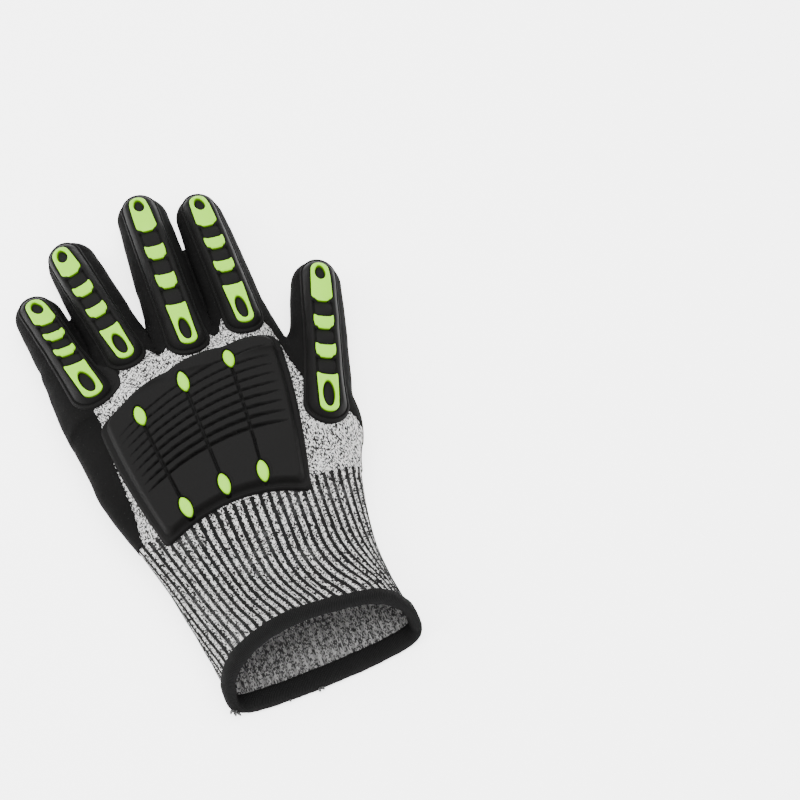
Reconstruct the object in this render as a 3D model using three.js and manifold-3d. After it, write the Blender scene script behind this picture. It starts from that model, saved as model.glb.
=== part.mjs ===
// A left-hand impact glove lying palm down: a hollow knitted and dipped hand with five finger
// stalls, a ribbed cuff with a bound mouth, and moulded rubber guards with bright inlays on the
// knuckles and on every finger. Millimetres, +Z up, +Y to the fingertips, +X to the thumb. The
// origin is on the resting face under the middle of the palm.
import * as THREE from "three";
import { mergeVertices } from "three/addons/utils/BufferGeometryUtils.js";
import Module from "manifold-3d";

const wasm = await Module();
wasm.setup();

// Driving dimensions.
const GAP = 0.3; // clearance between pieces that touch
const WALL = 1.8; // the knit, and the knit soaked with the dip

const PALM_LENGTH = 76; // wrist line to finger roots
const PALM_WIDTH = 108; // across the knuckles
const PALM_HEIGHT = 28; // resting face to the back of the hand
const WEB_LENGTH = 29; // finger roots to the webs between the fingers

const CUFF_LENGTH = 78; // wrist line to the mouth's lower edge
const CUFF_WIDTH = 82; // across the mouth
const MOUTH_HEIGHT = 34; // how far the mouth gapes
const MOUTH_LEAN = 18; // the mouth's upper edge stands this far behind its lower edge
const RIB_COUNT = 52; // ribs round the cuff
const RIB_DEPTH = 0.7;

const BINDING_WIDTH = 7; // along the cuff
const BINDING_CHEEK = 1.2; // cloth on each side of the cuff's edge
const BINDING_GRIP = 4.5; // how deep the cuff's edge sits in the binding

const FINGER_LENGTH = 118; // middle finger, root to tip
const FINGER_WIDTH = 24.5;
const FINGER_HEIGHT = 21;
const FINGER_ARCH = 1.5; // the stalls arch up between root and tip

const GUARD_WIDTH = 20; // across the glove's skin, as are the inlays' widths
const GUARD_HEIGHT = 4.9; // glove surface to crown
const FLANGE_WIDTH = 1.7;
const FLANGE_HEIGHT = 1.4;
const SHOULDER_RUN = 2.4; // from the flange in to the crown
const TIP_WRAP = 50; // degrees that a guard turns down over its fingertip
const TIP_THIN = 3.4; // how much lower the crown would start, if it reached the guard's far end
const TIP_FADE = 14; // and how far along the guard it rises to its height
const INLAY_WIDTH = 7.3;
const INLAY_DEPTH = 1.5; // pocket depth under the crown
const INLAY_PROUD = 0.4; // inlay top above the crown
const INLAY_RIM = FLANGE_WIDTH + SHOULDER_RUN; // guard left past the base inlay
const TIP_RIM = INLAY_RIM + 1.8; // and past the tip inlay
const INLAY_TAPER = 0.8; // how much an inlay narrows to its near end, on each side
const HORN = 1; // the pointed corners of an inlay
const EYE_WIDTH = 3.5; // the oval windows in the end inlays

const KNUCKLE_WIDTH = 86; // across the knuckle guard's finger side
const KNUCKLE_LENGTH = 80;
const KNUCKLE_HEIGHT = 5.4;
const KNUCKLE_OVERHANG = 7; // how far its corners reach over the cuff
const KNUCKLE_BOW = 11.5; // how far its finger edge bulges
const KNUCKLE_HOLLOW = 7.5; // how far its wrist edge curves in
const GROOVE_COUNT = 9;
const GROOVE_PITCH = 4.7;
const GROOVE_WIDTH = 1.5;
const GROOVE_DEPTH = 1.4;
const DOT_LENGTH = 9.6;
const DOT_WIDTH = 4.8;

// How finely curves are cut into facets.
const BODY_SIDES = 24;
const FINGER_SIDES = 10;
const DOT_SIDES = 8;
const PLATE_SIDES = 28;
const DENSE = 240; // steps that measure an outline's length
const FLATNESS = 0.01; // facets that are flat to within this are joined

const WRIST_Y = -0.6 * PALM_LENGTH;
const ROOT_Y = 0.4 * PALM_LENGTH;
const MOUTH_Y = WRIST_Y - CUFF_LENGTH;
const BINDING_BULGE = GAP + BINDING_CHEEK; // the binding stands this far off the cuff
const SQUARENESS = 2.3; // of the tube's sections: 2 is an ellipse, and more is squarer
const FLATTENING = 1.35; // how much of a section's underside the floor presses flat
const DOME = 0.62; // a fingertip's length as a share of its height
const SINK = 1.2; // a guard is drawn this far into the glove before the glove is cut from it

// The hand from the wrist line (at 0) to the finger roots (at 1) and the webs (at 2). left and
// right are shares of PALM_WIDTH, top and side (the height of the widest line) of PALM_HEIGHT,
// and lift is the underside's height as a share of PALM_HEIGHT.
const HAND_ROWS = [
  { at: 0, left: -0.43, right: 0.504, top: 0.9, side: 0.42, lift: 0 },
  { at: 0.35, left: -0.505, right: 0.585, top: 0.98, side: 0.41, lift: 0 },
  { at: 0.6, left: -0.528, right: 0.53, top: 1, side: 0.41, lift: 0 },
  { at: 1, left: -0.557, right: 0.43, top: 0.92, side: 0.39, lift: 0 },
  { at: 1.5, left: -0.55, right: 0.395, top: 0.74, side: 0.37, lift: 0.04 },
  { at: 1.9, left: -0.53, right: 0.36, top: 0.54, side: 0.36, lift: 0.18 },
  { at: 2, left: -0.5, right: 0.34, top: 0.42, side: 0.36, lift: 0.28 },
];

// The cuff from the wrist line (at 0) to the mouth (at 1). left and right are shares of
// CUFF_WIDTH. top runs from the wrist's height (0) to MOUTH_HEIGHT (1), side is a share of
// MOUTH_HEIGHT, and lean and lift are shares of MOUTH_LEAN and of the binding's bulge.
const CUFF_ROWS = [
  { at: 0.3, left: -0.488, right: 0.6, top: 0.02, side: 0.29, lean: 0.1, lift: 0 },
  { at: 0.49, left: -0.452, right: 0.581, top: 0.18, side: 0.26, lean: 0.28, lift: 0.1 },
  { at: 0.68, left: -0.42, right: 0.584, top: 0.46, side: 0.23, lean: 0.52, lift: 0.5 },
  { at: 0.84, left: -0.395, right: 0.597, top: 0.76, side: 0.21, lean: 0.78, lift: 1 },
  { at: 1, left: -0.378, right: 0.61, top: 1, side: 0.2, lean: 1, lift: 1 },
];

// Soft dents in the cuff's upper side. x and reach are shares of CUFF_WIDTH, at of CUFF_LENGTH
// from the wrist line and depth of MOUTH_HEIGHT.
const CUFF_DENTS = [
  { x: 0.3, at: 0.62, reach: 0.2, depth: 0.17 },
  { x: -0.26, at: 0.55, reach: 0.22, depth: 0.08 },
  { x: 0.06, at: 0.4, reach: 0.2, depth: -0.04 },
];

// The stalls. x and y place the root in the palm, as shares of PALM_WIDTH and of PALM_LENGTH from
// the wrist line. length, width and height are shares of the finger sizes. heading turns the
// stall towards the little finger and roll tips its guard the same way, in degrees. guard is the
// share of GUARD_WIDTH, near is the guard's clearance to the knuckle guard's edge, and tip and
// base are the shares of a guard's length, from its far end, where the tip inlay ends and the
// base inlay starts. The thumb's guard lies beside the knuckle guard, so it has no near.
const FINGERS = [
  { name: "little", x: -0.42, y: 0.868, length: 0.672, width: 0.93, height: 0.92, heading: 8.6,
    roll: -12, guard: 0.88, near: 13, tip: 0.305, base: 0.668 },
  { name: "ring", x: -0.178, y: 0.868, length: 0.885, width: 1.02, height: 0.98, heading: 8.4,
    roll: 11, guard: 0.95, near: 11.5, tip: 0.29, base: 0.725 },
  { name: "middle", x: 0.012, y: 0.868, length: 1, width: 1.07, height: 1, heading: -3,
    roll: -8, guard: 1, near: 1.5, tip: 0.28, base: 0.735 },
  { name: "index", x: 0.278, y: 0.868, length: 0.918, width: 1, height: 1, heading: -2.2,
    roll: -10, guard: 0.96, near: 3.8, tip: 0.29, base: 0.71 },
  { name: "thumb", x: 0.41, y: 0.3, length: 0.815, width: 1.04, height: 1.04, heading: -19.5,
    roll: -16, guard: 0.96, tip: 0.315, base: 0.75 },
];
const THUMB_GUARD_START = -0.02; // share of the thumb's length where its guard begins
const BAR = 0.215; // a black bar's share of the room between the tip and the base inlay
const TIP_EYE = 0.6; // the tip's window lies in this share of its inlay, from the far end
const BASE_EYE = 0.17; // the base's window starts after this share of its inlay

// A stall along its length: girth is a share of its own width and height.
const STALL_ROWS = [
  { at: 0, girth: 1.04 },
  { at: 0.25, girth: 1.08 },
  { at: 0.5, girth: 1.05 },
  { at: 0.75, girth: 1 },
];
const DOME_TURNS = [0, 32, 64]; // degrees round the fingertip where sections lie

// The bare knit on the back of the hand: its edge on the little finger's side and on the thumb's
// side, as shares of PALM_WIDTH and of PALM_LENGTH from the palm's middle.
const KNIT_LEFT = [
  { x: -0.41, y: -0.64 },
  { x: -0.389, y: -0.43 },
  { x: -0.407, y: -0.13 },
  { x: -0.4, y: 0.22 },
  { x: -0.398, y: 0.36 },
];
const KNIT_RIGHT = [
  { x: 0.385, y: 0.44 },
  { x: 0.4, y: 0.2 },
  { x: 0.415, y: 0 },
  { x: 0.41, y: -0.2 },
  { x: 0.54, y: -0.22 },
  { x: 0.535, y: -0.42 },
  { x: 0.54, y: -0.64 },
];
const KNIT_PEAK = 0.24; // how far the knit runs up a finger, in PALM_LENGTHs past the roots
const KNIT_VALLEY = 0.09; // where the dip ends between two fingers
const STALL_START = 0.27; // where the stalls are parted from the palm, past the roots too
const STALL_SPACE = 0.75; // how far an outer stall's space reaches, in FINGER_WIDTHs
const THUMB_START = 0.57; // and the thumb's stall, as a share of its length
const THUMB_SPACE = 0.6; // half the width that the thumb's stall takes, as a share of its own

// The knuckle guard's shares: of KNUCKLE_WIDTH its two sides, how much they narrow to the wrist
// and how far its finger edge rises to the thumb, and of itself where the dots and grooves lie,
// from -1 to 1 across and along.
const PLATE = { left: -0.515, right: 0.495, narrowLeft: 0.12, narrowRight: 0.155, skew: 0.1 };
const PLATE_CORNER = 0.2;
const DOT_COLUMNS = [-0.6, -0.1, 0.42];
const DOT_UPPER = 0.64;
const DOT_LOWER = -0.81;
const GROOVE_REACH = 0.86;

const { clamp, degToRad, lerp } = THREE.MathUtils;

// Mesh helpers.

function meshOf(points, index) {
  const geometry = new THREE.BufferGeometry().setFromPoints(points);
  geometry.setIndex(index);
  return geometry;
}

// The triangles between two loops of n points that start at the places a and b.
function band(n, a, b) {
  return Array.from({ length: n }, (_, i) => {
    const j = (i + 1) % n;
    return [a + i, a + j, b + j, a + i, b + j, b + i];
  }).flat();
}

// A closed mesh through equal loops of points, its ends closed by fans round their middles.
function loft(loops) {
  const n = loops[0].length;
  const end = (loops.length - 1) * n;
  const points = loops.flat();
  const index = loops.slice(1).flatMap((_, k) => band(n, k * n, (k + 1) * n));
  for (const [loop, start, turn] of [[loops[0], 0, 1], [loops.at(-1), end, 0]]) {
    const sum = loop.reduce((total, p) => total.add(p), new THREE.Vector3());
    const middle = points.push(sum.divideScalar(n)) - 1;
    for (let i = 0; i < n; i++) {
      const pair = [start + i, start + ((i + 1) % n)];
      index.push(middle, pair[turn], pair[1 - turn]);
    }
  }
  return meshOf(points, index);
}

// A closed ring through equal loops of points, the last joined to the first.
function ring(loops) {
  const n = loops[0].length;
  const index = loops.flatMap((_, k) => band(n, k * n, ((k + 1) % loops.length) * n));
  return meshOf(loops.flat(), index);
}

// A geometry as a solid that can be cut and joined. Triangles that vanish where two points meet
// are dropped, and a mesh that came out inside out is turned round.
function solid(geometry) {
  const merged = mergeVertices(geometry, 1e-4);
  const vertProperties = merged.attributes.position.array;
  const corners = [];
  for (let i = 0; i < merged.index.count; i += 3) {
    const [a, b, c] = [0, 1, 2].map((k) => merged.index.getX(i + k));
    if (a !== b && b !== c && c !== a) corners.push([a, b, c]);
  }
  const build = (order) => {
    const triVerts = new Uint32Array(corners.flatMap((t) => order.map((k) => t[k])));
    return new wasm.Manifold(new wasm.Mesh({ numProp: 3, vertProperties, triVerts }));
  };
  const made = build([0, 1, 2]);
  return made.volume() > 0 ? made : build([0, 2, 1]);
}

// A solid's surface as a geometry.
function surface(made) {
  const mesh = made.simplify(FLATNESS).getMesh();
  const points = Array.from({ length: mesh.numVert }, (_, i) =>
    new THREE.Vector3().fromArray(mesh.vertProperties, i * mesh.numProp),
  );
  return meshOf(points, Array.from(mesh.triVerts));
}

// Interpolation between a table's rows, for every column, at the given place.
function rowAt(rows, at) {
  let k = 0;
  while (k + 2 < rows.length && rows[k + 1].at < at) k++;
  const [a, b] = [rows[k], rows[k + 1]];
  const share = clamp((at - a.at) / (b.at - a.at), 0, 1);
  return Object.fromEntries(Object.keys(a).map((key) => [key, lerp(a[key], b[key], share)]));
}

// A flat outline moved outwards by margin, with its corners kept sharp.
function grown(outline, margin) {
  const normal = (a, b) => new THREE.Vector2(b.y - a.y, a.x - b.x).normalize();
  return outline.map((p, i) => {
    const before = normal(outline.at(i - 1), p);
    const after = normal(p, outline[(i + 1) % outline.length]);
    const reach = margin / (1 + before.dot(after));
    return before.add(after).multiplyScalar(reach).add(p);
  });
}

function oval(middle, length, width, sides) {
  return Array.from({ length: sides }, (_, i) => {
    const turn = (2 * Math.PI * i) / sides;
    return new THREE.Vector2(Math.sin(turn) * width, -Math.cos(turn) * length)
      .multiplyScalar(0.5)
      .add(middle);
  });
}

// A plate with a flat outline, laid on a curved surface between two heights. place gives the
// point in space for a point of the outline and a height. A window, of as many points as the
// outline, goes right through it.
function plate(outline, low, high, place, window) {
  const walls = [low, high].map((height) => outline.map((p) => place(p, height)));
  if (!window) return solid(loft(walls));
  const inner = [high, low].map((height) => window.map((p) => place(p, height)));
  return solid(ring([...walls, ...inner]));
}

// The hand and the cuff as one tube of sections.

function handSection(row) {
  const reach = row.at <= 1 ? row.at * PALM_LENGTH : PALM_LENGTH + (row.at - 1) * WEB_LENGTH;
  return {
    y: WRIST_Y + reach,
    left: row.left * PALM_WIDTH,
    right: row.right * PALM_WIDTH,
    top: row.top * PALM_HEIGHT,
    side: row.side * PALM_HEIGHT,
    floor: row.lift * PALM_HEIGHT,
    lean: 0,
  };
}

function cuffSection(row) {
  const wrist = handSection(HAND_ROWS[0]);
  return {
    y: WRIST_Y - row.at * CUFF_LENGTH,
    left: row.left * CUFF_WIDTH,
    right: row.right * CUFF_WIDTH,
    top: lerp(wrist.top, MOUTH_HEIGHT, row.top),
    side: row.side * MOUTH_HEIGHT,
    floor: row.lift * BINDING_BULGE,
    lean: row.lean * MOUTH_LEAN,
  };
}

const handSections = HAND_ROWS.map(handSection);
const cuffSections = [handSections[0], ...CUFF_ROWS.map(cuffSection)];
const tubeRows = [...cuffSections.slice(1).reverse(), ...handSections].map((section) => ({
  ...section,
  at: section.y,
}));

// How deep the cuff is dented over a point in plan.
function dentDepth(x, y) {
  const depths = CUFF_DENTS.map((dent) => {
    const across = x - dent.x * CUFF_WIDTH;
    const along = y - (WRIST_Y - dent.at * CUFF_LENGTH);
    const near = (across ** 2 + along ** 2) / (dent.reach * CUFF_WIDTH) ** 2;
    return dent.depth * MOUTH_HEIGHT * Math.exp(-near);
  });
  return depths.reduce((total, depth) => total + depth, 0);
}

// One point of a section, grow outside the glove's surface. turn is 0 at the thumb's side and
// runs over the back of the hand.
function sectionPoint(section, turn, grow) {
  const [c, s] = [Math.cos(turn), Math.sin(turn)];
  const power = 2 / SQUARENESS;
  const middle = (section.left + section.right) / 2;
  const half = (section.right - section.left) / 2 + grow;
  const up = section.top - section.side + grow;
  const down = section.side * FLATTENING + grow;
  const x = middle + Math.sign(c) * half * Math.abs(c) ** power;
  const z = section.side + Math.sign(s) * (s > 0 ? up : down) * Math.abs(s) ** power;
  const share = (z - section.floor) / (section.top - section.floor);
  const y = section.y + section.lean * share;
  const dent = y < WRIST_Y ? dentDepth(x, y) * Math.max(s, 0) : 0;
  return new THREE.Vector3(x, y, Math.max(z - dent, section.floor - grow));
}

function sectionLoop(section, grow, turns) {
  return turns.map((turn) => sectionPoint(section, turn, grow));
}

const bodyTurns = Array.from({ length: BODY_SIDES }, (_, i) => (2 * Math.PI * i) / BODY_SIDES);

// Places round a section at equal steps along its outline.
function evenTurns(section, count) {
  const at = (i) => sectionPoint(section, (2 * Math.PI * i) / DENSE, 0);
  const lengths = [0];
  for (let i = 1; i <= DENSE; i++) lengths.push(lengths[i - 1] + at(i).distanceTo(at(i - 1)));
  return Array.from({ length: count }, (_, i) => {
    const want = (lengths[DENSE] * i) / count;
    const k = lengths.findIndex((length) => length > want) - 1;
    const share = (want - lengths[k]) / (lengths[k + 1] - lengths[k]);
    return (2 * Math.PI * (k + share)) / DENSE;
  });
}

// Height of the glove's back over a point in plan, without the stalls.
function backHeight(x, y) {
  const section = rowAt(tubeRows, y);
  const half = (section.right - section.left) / 2;
  const across = Math.min(Math.abs(x - (section.left + section.right) / 2) / half, 0.98);
  const arc = (1 - across ** SQUARENESS) ** (1 / SQUARENESS);
  return section.side + (section.top - section.side) * arc;
}

// The finger stalls. Each has its own frame: X across, Y along, Z up from its axis.

function stall(row) {
  const width = row.width * FINGER_WIDTH;
  const height = row.height * FINGER_HEIGHT;
  const axis = (height - FINGER_ARCH) / 2;
  const group = new THREE.Group();
  group.position.set(row.x * PALM_WIDTH, WRIST_Y + row.y * PALM_LENGTH, axis);
  group.rotation.set(0, degToRad(-row.roll), degToRad(row.heading), "ZXY");
  group.updateMatrixWorld(true);
  const { x, y } = group.position;
  return {
    ...row,
    width,
    height,
    length: row.length * FINGER_LENGTH,
    dome: height * DOME,
    rise: Math.max(backHeight(x, y) - axis - height / 2, 0),
    group,
  };
}

const stalls = FINGERS.map(stall);

// A stall's section at a distance along its axis, before its tip rounds off.
function stallSection(finger, along) {
  const share = along / finger.length;
  const { girth } = rowAt(STALL_ROWS, share);
  const arch = FINGER_ARCH * (Math.sin(Math.PI * clamp(share, 0, 1)) - share);
  return {
    half: (finger.width / 2) * girth,
    up: (finger.height / 2) * girth,
    axis: finger.rise * (1 - share) ** 2 + arch,
  };
}

// A stall as a solid in the glove's frame, grow outside its surface and flat on the floor.
function stallSolid(finger, grow) {
  const start = finger.length - finger.dome;
  const straight = STALL_ROWS.map((row) => ({ along: row.at * finger.length, turn: 0 }));
  const domed = DOME_TURNS.map((turn) => ({ along: start, turn: degToRad(turn) }));
  const places = [...straight.filter((place) => place.along < start), ...domed];
  const loops = places.map(({ along, turn }) => {
    const { half, up, axis } = stallSection(finger, along);
    return Array.from({ length: FINGER_SIDES }, (_, i) => {
      const round = (2 * Math.PI * (i + 0.5)) / FINGER_SIDES;
      const point = new THREE.Vector3(
        (half + grow) * Math.cos(round) * Math.cos(turn),
        along + (finger.dome + grow) * Math.sin(turn),
        axis + (up + grow) * Math.sin(round) * Math.cos(turn),
      );
      point.applyMatrix4(finger.group.matrixWorld);
      return point.setZ(Math.max(point.z, -grow));
    });
  });
  return solid(loft(loops));
}

// The hand with its stalls as one solid, grow outside its surface. extend lengthens it past the
// wrist line.
function handSolid(grow, extend = 0) {
  const wrist = { ...handSections[0], y: WRIST_Y + GAP / 2 - extend };
  const sections = [wrist, ...handSections.slice(1)];
  const webs = { ...sections.pop() };
  webs.y += grow;
  const palm = solid(loft([...sections, webs].map((s) => sectionLoop(s, grow, bodyTurns))));
  return stalls.reduce((made, finger) => made.add(stallSolid(finger, grow)), palm);
}

const handShell = handSolid(0).subtract(handSolid(-WALL, 2 * WALL));
const cuffClear = solid(loft(cuffSections.map((s) => sectionLoop(s, GAP, bodyTurns))));
const gloveClear = handSolid(GAP).add(cuffClear);

const fingers = stalls.filter((finger) => finger.name !== "thumb");

// Where a finger's axis crosses a line across the hand, and halfway to the next finger's.
function axisAt(finger, y) {
  const { position } = finger.group;
  return position.x - (y - position.y) * Math.tan(degToRad(finger.heading));
}

function betweenAt(finger, next, y) {
  return (axisAt(finger, y) + axisAt(next, y)) / 2;
}

// An upright prism over an outline in plan, reaching above the whole glove.
function prism(outline, low) {
  const shape = new THREE.Shape(outline);
  const made = new THREE.ExtrudeGeometry(shape, { depth: 3 * PALM_HEIGHT, bevelEnabled: false });
  made.deleteAttribute("normal");
  made.deleteAttribute("uv");
  return solid(made.translate(0, 0, low));
}

// The knit's outline in plan, wider by margin. It runs up under each guard and dips between the
// fingers.
function knitOutline(margin) {
  const at = (p) => new THREE.Vector2(p.x * PALM_WIDTH, p.y * PALM_LENGTH);
  const peak = ROOT_Y + KNIT_PEAK * PALM_LENGTH;
  const valley = ROOT_Y + KNIT_VALLEY * PALM_LENGTH;
  const zigzag = fingers.slice(1).flatMap((finger, k) => {
    const dip = k === 0 ? ROOT_Y : valley;
    const valleyX = betweenAt(fingers[k], finger, dip);
    return [new THREE.Vector2(valleyX, dip), new THREE.Vector2(axisAt(finger, peak), peak)];
  });
  const outline = [...KNIT_LEFT.map(at), ...zigzag, ...KNIT_RIGHT.map(at)];
  return grown(outline, -margin);
}

function knitWindow(margin) {
  return prism(knitOutline(margin), handSections[0].side - margin);
}

// The space that one stall takes past its parting line, smaller by margin on all sides.
function stallSpace(finger, margin) {
  const beyond = FINGER_LENGTH + PALM_LENGTH;
  if (finger.name === "thumb") {
    const broad = THUMB_SPACE * finger.width;
    const start = THUMB_START * finger.length;
    const corners = [[-broad, start], [broad, start], [broad, beyond], [-broad, beyond]];
    const heading = degToRad(finger.heading);
    const { x, y } = finger.group.position;
    const outline = corners.map((corner) =>
      new THREE.Vector2(...corner).rotateAround(new THREE.Vector2(), heading).add({ x, y }),
    );
    return prism(grown(outline, -margin), -PALM_HEIGHT);
  }
  const broad = STALL_SPACE * FINGER_WIDTH;
  const k = fingers.indexOf(finger);
  const [left, right] = [fingers[k - 1], fingers[k + 1]];
  const leftAt = (y) => (left ? betweenAt(left, finger, y) : axisAt(finger, y) - broad);
  const rightAt = (y) => (right ? betweenAt(finger, right, y) : axisAt(finger, y) + broad);
  const start = ROOT_Y + STALL_START * PALM_LENGTH;
  const outline = [
    new THREE.Vector2(leftAt(start), start),
    new THREE.Vector2(rightAt(start), start),
    new THREE.Vector2(rightAt(beyond), beyond),
    new THREE.Vector2(leftAt(beyond), beyond),
  ];
  return prism(grown(outline, -margin), -PALM_HEIGHT);
}

// The ribbed cuff: a tube whose outside rises and falls at every rib.

const cuffEdge = rowAt(tubeRows, MOUTH_Y + BINDING_WIDTH - BINDING_GRIP + GAP);

function cuffSolid() {
  const wrist = { ...cuffSections[0], y: WRIST_Y - GAP / 2 };
  const rows = [wrist, ...cuffSections.slice(1, -1), cuffEdge];
  const outside = rows.map((section, k) =>
    evenTurns(section, 2 * RIB_COUNT).map((turn, i) =>
      sectionPoint(section, turn, k > 0 && i % 2 ? -RIB_DEPTH : 0),
    ),
  );
  const before = { ...wrist, y: wrist.y + WALL };
  const after = { ...cuffEdge, y: cuffEdge.y - WALL };
  const inside = [before, ...rows, after].map((section) =>
    sectionLoop(section, -WALL, evenTurns(section, RIB_COUNT)),
  );
  return solid(loft(outside)).subtract(solid(loft(inside)));
}

// The cloth binding folded over the cuff's edge, with the edge in its slot.
function bindingSolid() {
  const mouth = cuffSections.at(-1);
  const behind = rowAt(tubeRows, MOUTH_Y + BINDING_WIDTH);
  const [out, inn] = [BINDING_BULGE, -WALL - BINDING_BULGE];
  const slot = BINDING_WIDTH - BINDING_GRIP;
  const soft = BINDING_CHEEK;
  const profile = [
    { off: out, along: BINDING_WIDTH - soft / 2 },
    { off: GAP, along: BINDING_WIDTH },
    { off: GAP, along: slot },
    { off: -WALL - GAP, along: slot },
    { off: -WALL - GAP, along: BINDING_WIDTH },
    { off: inn, along: BINDING_WIDTH - soft / 2 },
    { off: inn, along: soft },
    { off: inn + soft, along: 0 },
    { off: out - soft, along: 0 },
    { off: out, along: soft },
  ];
  const loops = evenTurns(cuffEdge, RIB_COUNT).map((turn) =>
    profile.map(({ off, along }) => {
      const near = sectionPoint(mouth, turn, off);
      return near.lerp(sectionPoint(behind, turn, off), along / BINDING_WIDTH);
    }),
  );
  return solid(ring(loops));
}

// The knuckle guard, a moulded plate over the back of the hand.

// A point of the plate in plan, from its own two coordinates, each from -1 to 1.
function platePoint(across, along) {
  const up = (along + 1) / 2;
  const narrow = across < 0 ? PLATE.narrowLeft : -PLATE.narrowRight;
  const side = across < 0 ? PLATE.left : PLATE.right;
  const x = KNUCKLE_WIDTH * Math.abs(across) * (side + narrow * (1 - up) ** 1.6);
  const low = WRIST_Y - KNUCKLE_OVERHANG;
  const lower = low + KNUCKLE_HOLLOW * (1 - across ** 2);
  const skew = PLATE.skew * KNUCKLE_WIDTH * across;
  const upper = low + KNUCKLE_LENGTH - KNUCKLE_BOW * across ** 2 + skew;
  return new THREE.Vector2(x, lerp(lower, upper, up));
}

function plateHeight(p, height) {
  return new THREE.Vector3(p.x, p.y, backHeight(p.x, p.y) + GAP + height);
}

// The plate's edge with its round corners, as its two coordinates.
function plateEdge(turn) {
  const [c, s] = [Math.cos(turn), Math.sin(turn)];
  const square = 1 / Math.max(Math.abs(c), Math.abs(s));
  const straight = 1 - PLATE_CORNER;
  const past = [c, s].map((v) => Math.abs(v * square) - straight);
  if (Math.min(...past) < 0) return [c * square, s * square];
  const scale = Math.max(...past) / Math.hypot(...past);
  return [c, s].map((v, k) => Math.sign(v) * (straight + past[k] * scale));
}

function plateSolid() {
  const rim = (2 * FLANGE_WIDTH) / KNUCKLE_WIDTH;
  const rise = (2 * SHOULDER_RUN) / KNUCKLE_WIDTH;
  const rings = [
    { share: 0.5, height: -SINK },
    { share: 1, height: -SINK },
    { share: 1, height: FLANGE_HEIGHT },
    { share: 1 - rim, height: FLANGE_HEIGHT },
    { share: 1 - rim - rise, height: KNUCKLE_HEIGHT },
    { share: 0.5, height: KNUCKLE_HEIGHT },
  ];
  const loops = rings.map(({ share, height }) =>
    Array.from({ length: PLATE_SIDES }, (_, i) => {
      const [across, along] = plateEdge((2 * Math.PI * i) / PLATE_SIDES);
      return plateHeight(platePoint(across * share, along * share), height);
    }),
  );
  return solid(loft(loops));
}

// A groove with a pointed floor along places on the plate. It runs out at its ends.
function groove(places) {
  const last = places.length - 1;
  const loops = places.map((p, k) => {
    const ahead = places[Math.min(k + 1, last)];
    const along = ahead.clone().sub(places[Math.max(k - 1, 0)]).normalize();
    const aside = new THREE.Vector2(-along.y, along.x).multiplyScalar(GROOVE_WIDTH);
    const depth = k === 0 || k === last ? -0.1 : 1;
    return [
      plateHeight(p.clone().add(aside), KNUCKLE_HEIGHT + GROOVE_DEPTH),
      plateHeight(p, KNUCKLE_HEIGHT - GROOVE_DEPTH * depth),
      plateHeight(p.clone().sub(aside), KNUCKLE_HEIGHT + GROOVE_DEPTH),
    ];
  });
  return solid(loft(loops));
}

function steps(count, from, to) {
  return Array.from({ length: count }, (_, i) => lerp(from, to, i / (count - 1)));
}

const pitch = (2 * GROOVE_PITCH) / KNUCKLE_LENGTH;
const crossGrooves = steps(GROOVE_COUNT, DOT_UPPER, DOT_UPPER - (GROOVE_COUNT - 1) * pitch).map(
  (along) => groove(steps(5, -GROOVE_REACH, GROOVE_REACH).map((a) => platePoint(a, along))),
);
const longGrooves = DOT_COLUMNS.map((across) =>
  groove(steps(4, DOT_LOWER, DOT_UPPER).map((along) => platePoint(across, along))),
);

// The oval dots at both ends of the lengthwise grooves.
const dots = [DOT_UPPER, DOT_LOWER].flatMap((along) =>
  DOT_COLUMNS.map((across) => {
    const middle = platePoint(across, along);
    const ahead = platePoint(across, along + 0.1).sub(middle);
    const turn = ahead.angle() - Math.PI / 2;
    const outline = oval(middle, DOT_LENGTH, DOT_WIDTH, DOT_SIDES);
    return outline.map((p) => p.rotateAround(middle, turn));
  }),
);

function dotSolid(outline, margin, low, high) {
  const shape = grown(outline, margin);
  return plate(shape, KNUCKLE_HEIGHT + low, KNUCKLE_HEIGHT + high, plateHeight);
}

// The finger guards. A guard has its own coordinates on its stall: s from its far end back along
// the finger, t across it to the thumb's side, and a height above the stall.

function guardFrame(finger) {
  const bend = (finger.dome + finger.height / 2) / 2;
  const wrap = degToRad(TIP_WRAP) * bend;
  const { position } = finger.group;
  const edge = platePoint(clamp((2 * position.x) / KNUCKLE_WIDTH, -1, 1), 1);
  const besidePlate = finger.near === undefined;
  const pastPlate = edge.y - position.y + finger.near;
  const start = besidePlate ? THUMB_GUARD_START * finger.length : pastPlate;
  const straight = finger.length - finger.dome - start;
  return { bend, wrap, length: straight + wrap, half: (finger.guard * GUARD_WIDTH) / 2 };
}

// How much lower than GUARD_HEIGHT the crown and its inlays lie, at a place along the guard.
function tipDrop(s) {
  return TIP_THIN * (1 - clamp(s / TIP_FADE, 0, 1)) ** 2;
}

// A point of a guard. Where the back of the hand is higher than the stall, it lifts the guard.
function guardPoint(finger, frame, p, crownHeight) {
  const height = crownHeight > FLANGE_HEIGHT ? crownHeight - tipDrop(p.y) : crownHeight;
  const turn = Math.max(frame.wrap - p.y, 0) / frame.bend;
  const along = finger.length - finger.dome - Math.max(p.y - frame.wrap, 0);
  const { half, up, axis } = stallSection(finger, along);
  const round = p.x / half;
  const [skin, point] = [0, height].map((off) =>
    new THREE.Vector3(
      (half + off) * Math.sin(round),
      along + (finger.dome + off) * Math.sin(turn) * Math.cos(round),
      axis + (up + off) * Math.cos(turn) * Math.cos(round),
    ).applyMatrix4(finger.group.matrixWorld),
  );
  return point.setZ(point.z + Math.max(backHeight(skin.x, skin.y) - skin.z, 0));
}

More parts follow.
